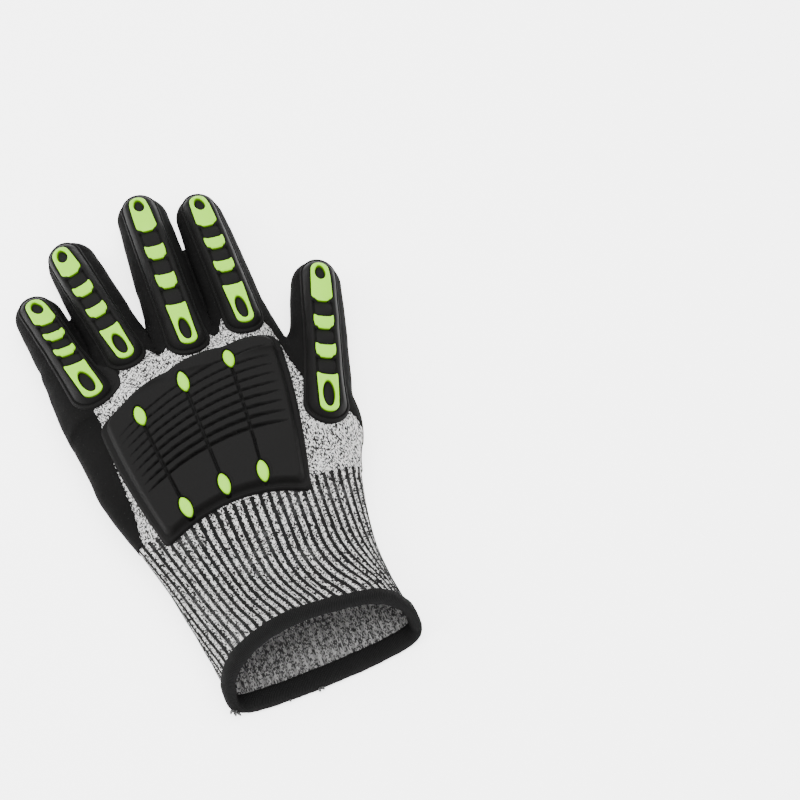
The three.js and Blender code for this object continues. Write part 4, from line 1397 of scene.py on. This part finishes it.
print("guards", [round(guard_frame(f)["length"], 1) for f in FINGERS])

# %% [markdown]
# The lime inlays sit along the crown. Each outline is a short list of corners worked out from
# where it starts and ends: the first is round at the fingertip, the last is round at its near
# end, and the others have two horns. The same outlines make the inlays and, a little wider, the
# pockets in the black guard.

# %% Inlay outlines
INLAY_WIDTH = 7.0
BAR = 0.215
TIP_RIM = 6.4
BASE_RIM = 3.9
INLAY_TAPER = 0.55
EYE_HALF = 1.9
OUTLINE_POINTS = 120


def even_outline(corners, count):
    """A closed outline resampled to equally spaced points, with its corners slightly rounded."""
    p = np.array(corners)
    p = np.concatenate([p, p[:1]])
    lengths = np.concatenate([[0], np.cumsum(np.linalg.norm(np.diff(p, axis=0), axis=1))])
    want = lengths[-1] * np.arange(count) / count
    q = np.stack([np.interp(want, lengths, p[:, k]) for k in (0, 1)], -1)
    for _ in range(2):
        q = 0.5 * q + 0.25 * (np.roll(q, 1, 0) + np.roll(q, -1, 0))
    return q


def inlay_corners(far, near, round_far, round_near):
    """Half an outline from the far edge's middle to the near edge's middle, then mirrored."""
    wide = INLAY_WIDTH / 2
    slim = wide - INLAY_TAPER
    long = near - far
    quarter = np.linspace(0, np.pi / 2, 9)
    if round_far:
        head = [(0.94 * wide * math.sin(a), far + wide * (1 - math.cos(a))) for a in quarter]
        head += [(wide, far + 0.55 * long), (1.06 * wide, near - 3.0)]
    else:
        head = [(0, far + 0.9), (wide - 1.3, far + 0.6), (wide - 0.1, far - 0.55)]
        head += [(wide, far + (1.2 if round_near else 0.35 * long))]
    if round_near:
        foot = [(slim * math.cos(a), near - 1.2 * slim * (1 - math.sin(a))) for a in quarter]
    else:
        foot = [(slim + 0.25, near - 1.9), (slim - 0.75, near - 1.1), (slim - 0.95, near - 0.1)]
        foot += [(0, near + 0.25)]
    half = head + foot
    return half + [(-x, y) for x, y in half[-2:0:-1]]


def inlay_rows(g):
    """The four inlays: name, outline, and the eye's middle and half length where it has one."""
    tip_end, base_start = g["tip"] * g["length"], g["base"] * g["length"]
    base_end = g["length"] - BASE_RIM
    bar = BAR * (base_start - tip_end)
    middle = (base_start - tip_end - 3 * bar) / 2
    first = tip_end + bar
    second = first + middle + bar
    tip_eye = TIP_RIM + 6.0
    base_eye = base_end - 9.0
    return (
        ("tip_inlay", inlay_corners(TIP_RIM, tip_end, True, False), (tip_eye, 4.4)),
        ("mid_inlay_1", inlay_corners(first, first + middle, False, False), None),
        ("mid_inlay_2", inlay_corners(second, second + middle, False, False), None),
        ("base_inlay", inlay_corners(base_start, base_end, False, True), (base_eye, 6.8)),
    )


print("inlays", len(inlay_rows(guard_frame(FINGERS[0]))))

# %% Guard bodies
GUARD_STEPS = 360
GUARD_RINGS = 52
LIP_HEIGHT = 1.35
LIP_WIDTH = 1.7
LINE_PLACE = 1.25
LINE_HEIGHT = 0.4
LINE_SPREAD = 0.25
SHOULDER_END = 4.9
POCKET_DEPTH = 1.9
POCKET_GAP = 0.22
TIP_THIN = 4.8
TIP_FADE = 17.0
CHANNEL_HALF = 3.5
BAR_SUNK = 0.3
BAR_SLOT = 2.1
BAR_SIDE = 0.9
NEAR_ROUND = 1.2
LEAST_EDGE = 0.25
SUNK = -0.9


def tip_drop(s):
    """How much lower the crown lies near the fingertip, where the guard thins out."""
    return TIP_THIN * (1 - np.clip(s / TIP_FADE, 0, 1)) ** 2


def bar_height(t, s, start, end):
    """A black bar between two inlays: a barrel along the finger, hollow at both its ends, in a
    channel about as wide as the inlays."""
    middle, reach = (start + end) / 2, (end - start) / 2
    along = np.clip(np.abs(s - middle) / (reach + 0.3), 0, 1)
    barrel = np.sqrt(np.maximum(1 - along**2, 0))
    within = smooth_step(reach + 0.5, reach + 0.1, np.abs(s - middle))
    across = smooth_step(CHANNEL_HALF + 0.35, CHANNEL_HALF - 0.35, np.abs(t))
    wall = smooth_step(CHANNEL_HALF - 0.7, CHANNEL_HALF - 0.1, np.abs(t))
    return -(BAR_SUNK + BAR_SLOT * (1 - barrel) + BAR_SIDE * wall) * across * within


def guard_height(g, t, s, inset):
    """Height of the black rubber over the skin: a lip, a raised line with a dip behind it, a
    rounded shoulder up to the crown, sunk bars between the inlays, and pockets under them. A
    pocket leaves its eye standing, as a low dish of black rubber."""
    lip = LIP_HEIGHT * smooth_step(-0.4, 0.7, inset)
    line = LINE_HEIGHT * np.exp(-(((inset - LINE_PLACE) / LINE_SPREAD) ** 2))
    climb = np.clip((inset - LIP_WIDTH) / (SHOULDER_END - LIP_WIDTH), 0, 1)
    crown = GUARD_HEIGHT - LIP_HEIGHT - tip_drop(s)
    dip = 0.3 * np.exp(-(((inset - LINE_PLACE - 0.65) / 0.3) ** 2))
    height = lip + line - dip + crown * climb * (1.3 - 0.3 * climb)
    rows = inlay_rows(g)
    for (_, before, _), (_, after, _) in zip(rows, rows[1:]):
        end, start = max(y for _, y in before), min(y for _, y in after) + 0.6
        height = height + bar_height(t, s, end, start)
    for _, corners, eye in rows:
        outline = even_outline(corners, 60)
        away = outline_distance(t.ravel(), s.ravel(), outline).reshape(t.shape)
        pocket = smooth_step(POCKET_GAP + 0.3, POCKET_GAP - 0.25, away)
        if eye is not None:
            middle, reach = eye
            round_eye = np.hypot(t / EYE_HALF, (s - middle) / reach)
            dome = smooth_step(1.0, 0.85, round_eye)
            pocket = pocket * (1 - dome)
            height = height - dome * (0.75 + 0.35 * round_eye**2)
        height = height - POCKET_DEPTH * pocket
    return height


def guard_surface(f):
    """The grid from the sunk edge in to the spine, and back under the plate. The outline is two
    straight sides between two round ends, the near one a little longer."""
    g = guard_frame(f)
    half, length = g["half"], g["length"]
    far, near = half, half * NEAR_ROUND
    a = np.linspace(0, np.pi, 49)
    cap = np.where(a <= np.pi / 2, far * (1 - np.cos(a)), length - near * (1 + np.cos(a)))
    right = np.stack([half * np.sin(a), cap], -1)
    base = np.concatenate([right, right[::-1] * (-1, 1)])
    lengths = np.concatenate([[0], np.cumsum(np.linalg.norm(np.diff(base, axis=0), axis=1))])
    want = lengths[-1] * np.arange(GUARD_STEPS) / GUARD_STEPS
    edge = np.stack([np.interp(want, lengths, base[:, k]) for k in (0, 1)], -1)
    spine = np.stack([np.zeros(GUARD_STEPS), np.clip(edge[:, 1], far, length - near)], -1)
    inward = np.concatenate([[0.0, 0.0], np.linspace(0, 1, GUARD_RINGS) ** 1.15])
    grid = edge[None] + (spine - edge)[None] * inward[:, None, None]
    t, s = grid[..., 0], grid[..., 1]
    inset = inward[:, None] * np.linalg.norm(spine - edge, axis=1)[None]
    foot = feet(lambda h: guard_points(f, g, t, s, h), t.shape)
    height = guard_height(g, t, s, inset)
    height[0] = SUNK
    height[1] = np.maximum(height[1], LEAST_EDGE)
    top = guard_points(f, g, t, s, foot + height)
    low_spine = guard_points(f, g, spine[:, 0], spine[:, 1], foot[-1] + SUNK)
    return np.concatenate([low_spine[None], top])


def make_guard(f):
    """One guard. Its outline runs clockwise, so its faces are turned round to point outwards."""
    rows = guard_surface(f)
    faces, _ = grid_faces(len(rows), GUARD_STEPS)
    outward = [faces[:, ::-1]]
    piece = make_piece(f["name"] + "_guard_body", rows.reshape(-1, 3), outward, [guard_rubber])
    settle(piece, "guard_rubber", f["name"] + "_guard")


for finger in FINGERS:
    make_guard(finger)

# %% [markdown]
# An inlay is a grid too: round its outline, and from the foot of its wall up over a rounded rim
# and in to its middle. Where it has an eye, the grid ends at the eye and goes down there. The
# values of `rise` are given here: 0 at the foot, 0.75 at the rim's start and 1 on top.

# %% Inlays
INLAY_TOP = 0.35
INLAY_FOOT = -1.7
RIM_ROUND = 0.55
RIM_RISE = 0.75
INLAY_HOLLOW = 0.15
INLAY_RINGS = 16


def inlay_surface(f, g, corners, eye):
    """Rings between the outline and the eye or the middle. The height rises along a quarter
    circle near the outline, and falls by another one at the eye."""
    outer = even_outline(corners, OUTLINE_POINTS)
    middle_s, reach = eye if eye is not None else (outer[:, 1].mean(), 0)
    if eye is not None:
        start = np.arctan2(outer[:, 0], -(outer[:, 1] - middle_s))
        inner = np.stack([EYE_HALF * np.sin(start), middle_s - reach * np.cos(start)], -1)
    else:
        inner = np.stack([0 * outer[:, 0], middle_s + 0 * outer[:, 1]], -1)
    inward = np.concatenate([[0, 0], np.linspace(0, 1, INLAY_RINGS)])
    if eye is not None:
        inward = np.concatenate([inward, [1]])
    grid = outer[None] + (inner - outer)[None] * inward[:, None, None]
    t, s = grid[..., 0], grid[..., 1]
    width = np.linalg.norm(inner - outer, axis=1)[None]
    from_edge = inward[:, None] * width
    lift = 1 - np.clip(from_edge / RIM_ROUND, 0, 1)
    height = INLAY_TOP - RIM_ROUND * (1 - np.sqrt(1 - lift**2))
    hollow = INLAY_HOLLOW * smooth_step(0.6, 1.6, from_edge)
    if eye is not None:
        from_eye = (1 - inward[:, None]) * width
        drop = 1 - np.clip(from_eye / RIM_ROUND, 0, 1)
        height = height - RIM_ROUND * (1 - np.sqrt(1 - drop**2))
        hollow = hollow * smooth_step(0.4, 1.0, from_eye)
    height = height - hollow
    height[0] = INLAY_FOOT
    rise = np.ones_like(t)
    rise[0] = 0
    rise[1] = RIM_RISE
    if eye is not None:
        height[-1] = INLAY_FOOT
        rise[-1] = 0
        rise[-2] = RIM_RISE
    foot = feet(lambda h: guard_points(f, g, t, s, h), t.shape)
    return guard_points(f, g, t, s, foot + GUARD_HEIGHT - tip_drop(s) + height), rise


def make_inlay(f, g, name, corners, eye):
    """One inlay: closed below by a fan, or by a ring where it has an eye."""
    rows, rise = inlay_surface(f, g, corners, eye)
    rise = rise.ravel()
    if eye is None:
        points, faces = floored(rows)
        rise = np.append(rise, 0)
    else:
        ring, _ = grid_faces(len(rows) + 1, OUTLINE_POINTS)
        points, faces = rows.reshape(-1, 3), [ring % (len(rows) * OUTLINE_POINTS)]
    outward = [corners[:, ::-1] for corners in faces]
    piece = make_piece(f"{f['name']}_{name}_body", points, outward, [lime_rubber], rise=rise)
    settle(piece, "lime_rubber", f"{f['name']}_{name}")


for finger in FINGERS:
    frame_of_guard = guard_frame(finger)
    for inlay_name, inlay_outline, inlay_eye in inlay_rows(frame_of_guard):
        make_inlay(finger, frame_of_guard, inlay_name, inlay_outline, inlay_eye)

# %% [markdown]
# ## The knuckle guard
#
# The big plate is a square grid whose corners are drawn round: each square ring of the grid is
# mapped to a ring with round corners. Its height has the same lip and shoulder. Nine grooves
# cross it, thin at the fingers and wider towards the wrist, each running out in two points, and
# three long grooves join the lime dots. The rows of grooves and dots are tilted: they climb
# towards the thumb's side, most of all near the fingers, as the knuckles do.

# %% Knuckle guard
PLATE_CORNER = 0.09
KNUCKLE_HEIGHT = 5.4
PLATE_COLUMNS = 190
PLATE_ROWS = 210
DOT_COLUMNS = (-0.6, -0.1, 0.42)
DOT_UPPER = 0.64
DOT_LOWER = -0.81
DOT_LENGTH = 9.6
DOT_WIDTH = 4.8
GROOVES = 9
GROOVE_PITCH = 4.7
GROOVE_ENDS = 0.86
LONG_GROOVE_DEPTH = 1.7
PLATE_LIP = 2.6
PLATE_SHOULDER = 4.8
PLATE_LINES = (1.1, 2.2)
TILT = 0.022
TILT_ACROSS = 0.113
DOT_POCKET = 1.6
DOT_RIM = 0.35


def round_corners(a, b):
    """Maps a square to one with round corners, ring by ring."""
    ring = np.maximum(np.maximum(np.abs(a), np.abs(b)), 1e-9)
    past_a = np.abs(a) / ring - (1 - PLATE_CORNER)
    past_b = np.abs(b) / ring - (1 - PLATE_CORNER)
    corner = np.minimum(past_a, past_b) > 0
    scale = np.maximum(past_a, past_b) / np.maximum(np.hypot(past_a, past_b), 1e-9)
    round_a = np.sign(a) * (1 - PLATE_CORNER + past_a * scale) * ring
    round_b = np.sign(b) * (1 - PLATE_CORNER + past_b * scale) * ring
    return np.where(corner, round_a, a), np.where(corner, round_b, b), ring


def plate_axes(across, along):
    """Plan and the knuckle guard's direction of length at a place on it."""
    x, y = plate_points(across, along)
    ahead_x, ahead_y = plate_points(across, along + 0.02)
    return x, y, np.arctan2(ahead_y - y, ahead_x - x)


def dot_outline(across, along, grow=0.0):
    """A pointed oval: its half width follows a cosine raised to a power below 1."""
    x, y, heading = plate_axes(np.array(across), np.array(along))
    turn = np.linspace(0, 2 * np.pi, 64, endpoint=False)
    long = (DOT_LENGTH / 2 + grow) * np.cos(turn)
    wide = (DOT_WIDTH / 2 + grow) * np.sign(np.sin(turn)) * np.abs(np.sin(turn)) ** 1.25
    c, s = math.cos(float(heading)), math.sin(float(heading))
    return np.stack([x + long * c - wide * s, y + long * s + wide * c], -1)


def tilt(across, along):
    """How much further to the fingers the rows of grooves and dots lie towards the thumb."""
    return (TILT + TILT_ACROSS * across) * np.clip((along + 1) / 1.6, 0, 1)


DOTS = [(a, b + float(tilt(a, b))) for b in (DOT_UPPER, DOT_LOWER) for a in DOT_COLUMNS]


def groove_depth(across, along):
    """Nine cross grooves and three long ones, each a soft V whose width runs out at its ends."""
    pitch = 2 * GROOVE_PITCH / KNUCKLE_LENGTH
    along = along - tilt(across, along)
    depth = np.zeros_like(across)
    ends = np.clip(1 - (np.abs(across) / GROOVE_ENDS) ** 5, 0, 1)
    for k in range(GROOVES):
        middle = DOT_UPPER - k * pitch
        away = np.abs(along - middle) * KNUCKLE_LENGTH / 2
        half = (0.42 + 0.068 * k) * ends + 1e-3
        deep = (1.1 + 0.13 * k) * np.sqrt(ends)
        depth = np.maximum(depth, deep * smooth_step(half + 0.15, 0.55 * half, away))
    for column in DOT_COLUMNS:
        away = np.abs(across - column) * KNUCKLE_WIDTH / 2
        long = smooth_step(DOT_LOWER, DOT_LOWER + 0.03, along)
        long = long * smooth_step(DOT_UPPER, DOT_UPPER - 0.03, along)
        depth = np.maximum(depth, LONG_GROOVE_DEPTH * long * smooth_step(0.85, 0.4, away))
    return depth


def plate_height(x, y, across, along, inset):
    """Lip, two raised lines, shoulder, grooves and dot pockets of the knuckle guard."""
    lip = LIP_HEIGHT * smooth_step(-0.4, 0.8, inset)
    line = LINE_HEIGHT * sum(
        np.exp(-(((inset - place) / LINE_SPREAD) ** 2)) for place in PLATE_LINES
    )
    climb = np.clip((inset - PLATE_LIP) / (PLATE_SHOULDER - PLATE_LIP), 0, 1)
    height = lip + line + (KNUCKLE_HEIGHT - LIP_HEIGHT) * np.sin(climb * np.pi / 2) ** 0.8
    height = height - groove_depth(across, along)
    for dot in DOTS:
        outline = dot_outline(*dot, grow=POCKET_GAP)
        close = (np.abs(x - outline[:, 0].mean()) < 9) & (np.abs(y - outline[:, 1].mean()) < 9)
        away = outline_distance(x[close], y[close], outline)
        rim = DOT_RIM * np.exp(-(((away - 0.7) / 0.45) ** 2))
        height[close] += rim - DOT_POCKET * smooth_step(0.35, -0.25, away)
    return height


def over_back(x, y, height):
    """Points at a height over the back of the hand."""
    return np.stack([x, y, back_height(x, y) + height], -1)


def back_feet(x, y):
    """The heights over the back of the hand at which points meet the skin."""
    return feet(lambda height: over_back(x, y, height), x.shape, -3.0, 6.0)


def knuckle_surface():
    """A square grid from the sunk edge over the plate, with its underside."""
    a = np.linspace(-1, 1, PLATE_COLUMNS)
    b = np.linspace(-1, 1, PLATE_ROWS)
    grid_b, grid_a = np.meshgrid(b, a, indexing="ij")
    across, along, ring = round_corners(grid_a, grid_b)
    x, y = plate_points(across, along)
    inset = (1 - ring) * KNUCKLE_WIDTH / 2 * 0.96
    height = plate_height(x, y, across, along, inset)
    foot = back_feet(x, y)
    height = np.where(inset <= 1e-9, 0.2, height)
    return over_back(x, y, foot + height), over_back(x, y, foot + SUNK)


def make_knuckle_guard():
    """Top and underside as two grids, joined round their edges."""
    top, under = knuckle_surface()
    faces, _ = grid_faces(PLATE_ROWS, PLATE_COLUMNS, closed=False)
    index = np.arange(PLATE_ROWS * PLATE_COLUMNS).reshape(PLATE_ROWS, PLATE_COLUMNS)
    edge = np.concatenate([index[0], index[1:, -1], index[-1, -2::-1], index[-2:0:-1, 0]])
    ahead = np.roll(edge, -1)
    shift = index.size
    wall = np.stack([edge + shift, ahead + shift, ahead, edge], -1)
    points = np.concatenate([top.reshape(-1, 3), under.reshape(-1, 3)])
    piece = make_piece(
        "knuckle_guard_body", points, [faces, faces[:, ::-1] + shift, wall], [guard_rubber]
    )
    settle(piece, "guard_rubber", "knuckle_guard")


make_knuckle_guard()

# %% Dots
DOT_TOP = 0.55
DOT_RINGS = 10


def make_dot(number, across, along):
    """A pointed oval with a rounded top, sunk in its pocket."""
    outer = dot_outline(across, along)
    middle = outer.mean(0)
    inward = np.concatenate([[0], np.linspace(0, 1, DOT_RINGS)])
    grid = outer[None] + (middle - outer)[None] * inward[:, None, None]
    x, y = grid[..., 0], grid[..., 1]
    height = KNUCKLE_HEIGHT - 0.35 + (DOT_TOP + 0.35) * np.sqrt(1 - (1 - inward) ** 2)[:, None]
    height = np.broadcast_to(height, x.shape).copy()
    height[0] = KNUCKLE_HEIGHT - 1.5
    rise = np.ones_like(x)
    rise[0] = 0
    rise[1] = 0.7
    points, faces = floored(over_back(x, y, back_feet(x, y) + height))
    rise = np.append(rise.ravel(), 0)
    piece = make_piece(f"knuckle_dot_body_{number}", points, faces, [lime_rubber], rise=rise)
    settle(piece, "lime_rubber", f"knuckle_dot_{number}")


for count, dot in enumerate(DOTS):
    make_dot(count + 1, *dot)

# %% [markdown]
# ## The table
#
# The table is one large pale sheet just under the glove. It is not attached to the glove, and
# takes only a soft shadow. A catalogue picture has its white backing lit apart from the goods, so
# the sheet glows a little, which keeps it nearly white.

# %% Table
TABLE_SIZE = 3000.0
TABLE_DROP = 0.05
TABLE_GLOW = 2.5


def make_table():
    """A square sheet round the origin."""
    made, shader, wire = start_finish("pale_table", Roughness=0.6)
    shader.inputs["Base Color"].default_value = grey(0.95)
    shader.inputs["Emission Color"].default_value = grey(1.0)
    shader.inputs["Emission Strength"].default_value = TABLE_GLOW
    size = TABLE_SIZE
    corners = np.array([(-size, -size, 0), (size, -size, 0), (size, size, 0), (-size, size, 0)])
    table = make_piece("table", corners - (0, 0, TABLE_DROP), [np.array([[0, 1, 2, 3]])], [made])


make_table()
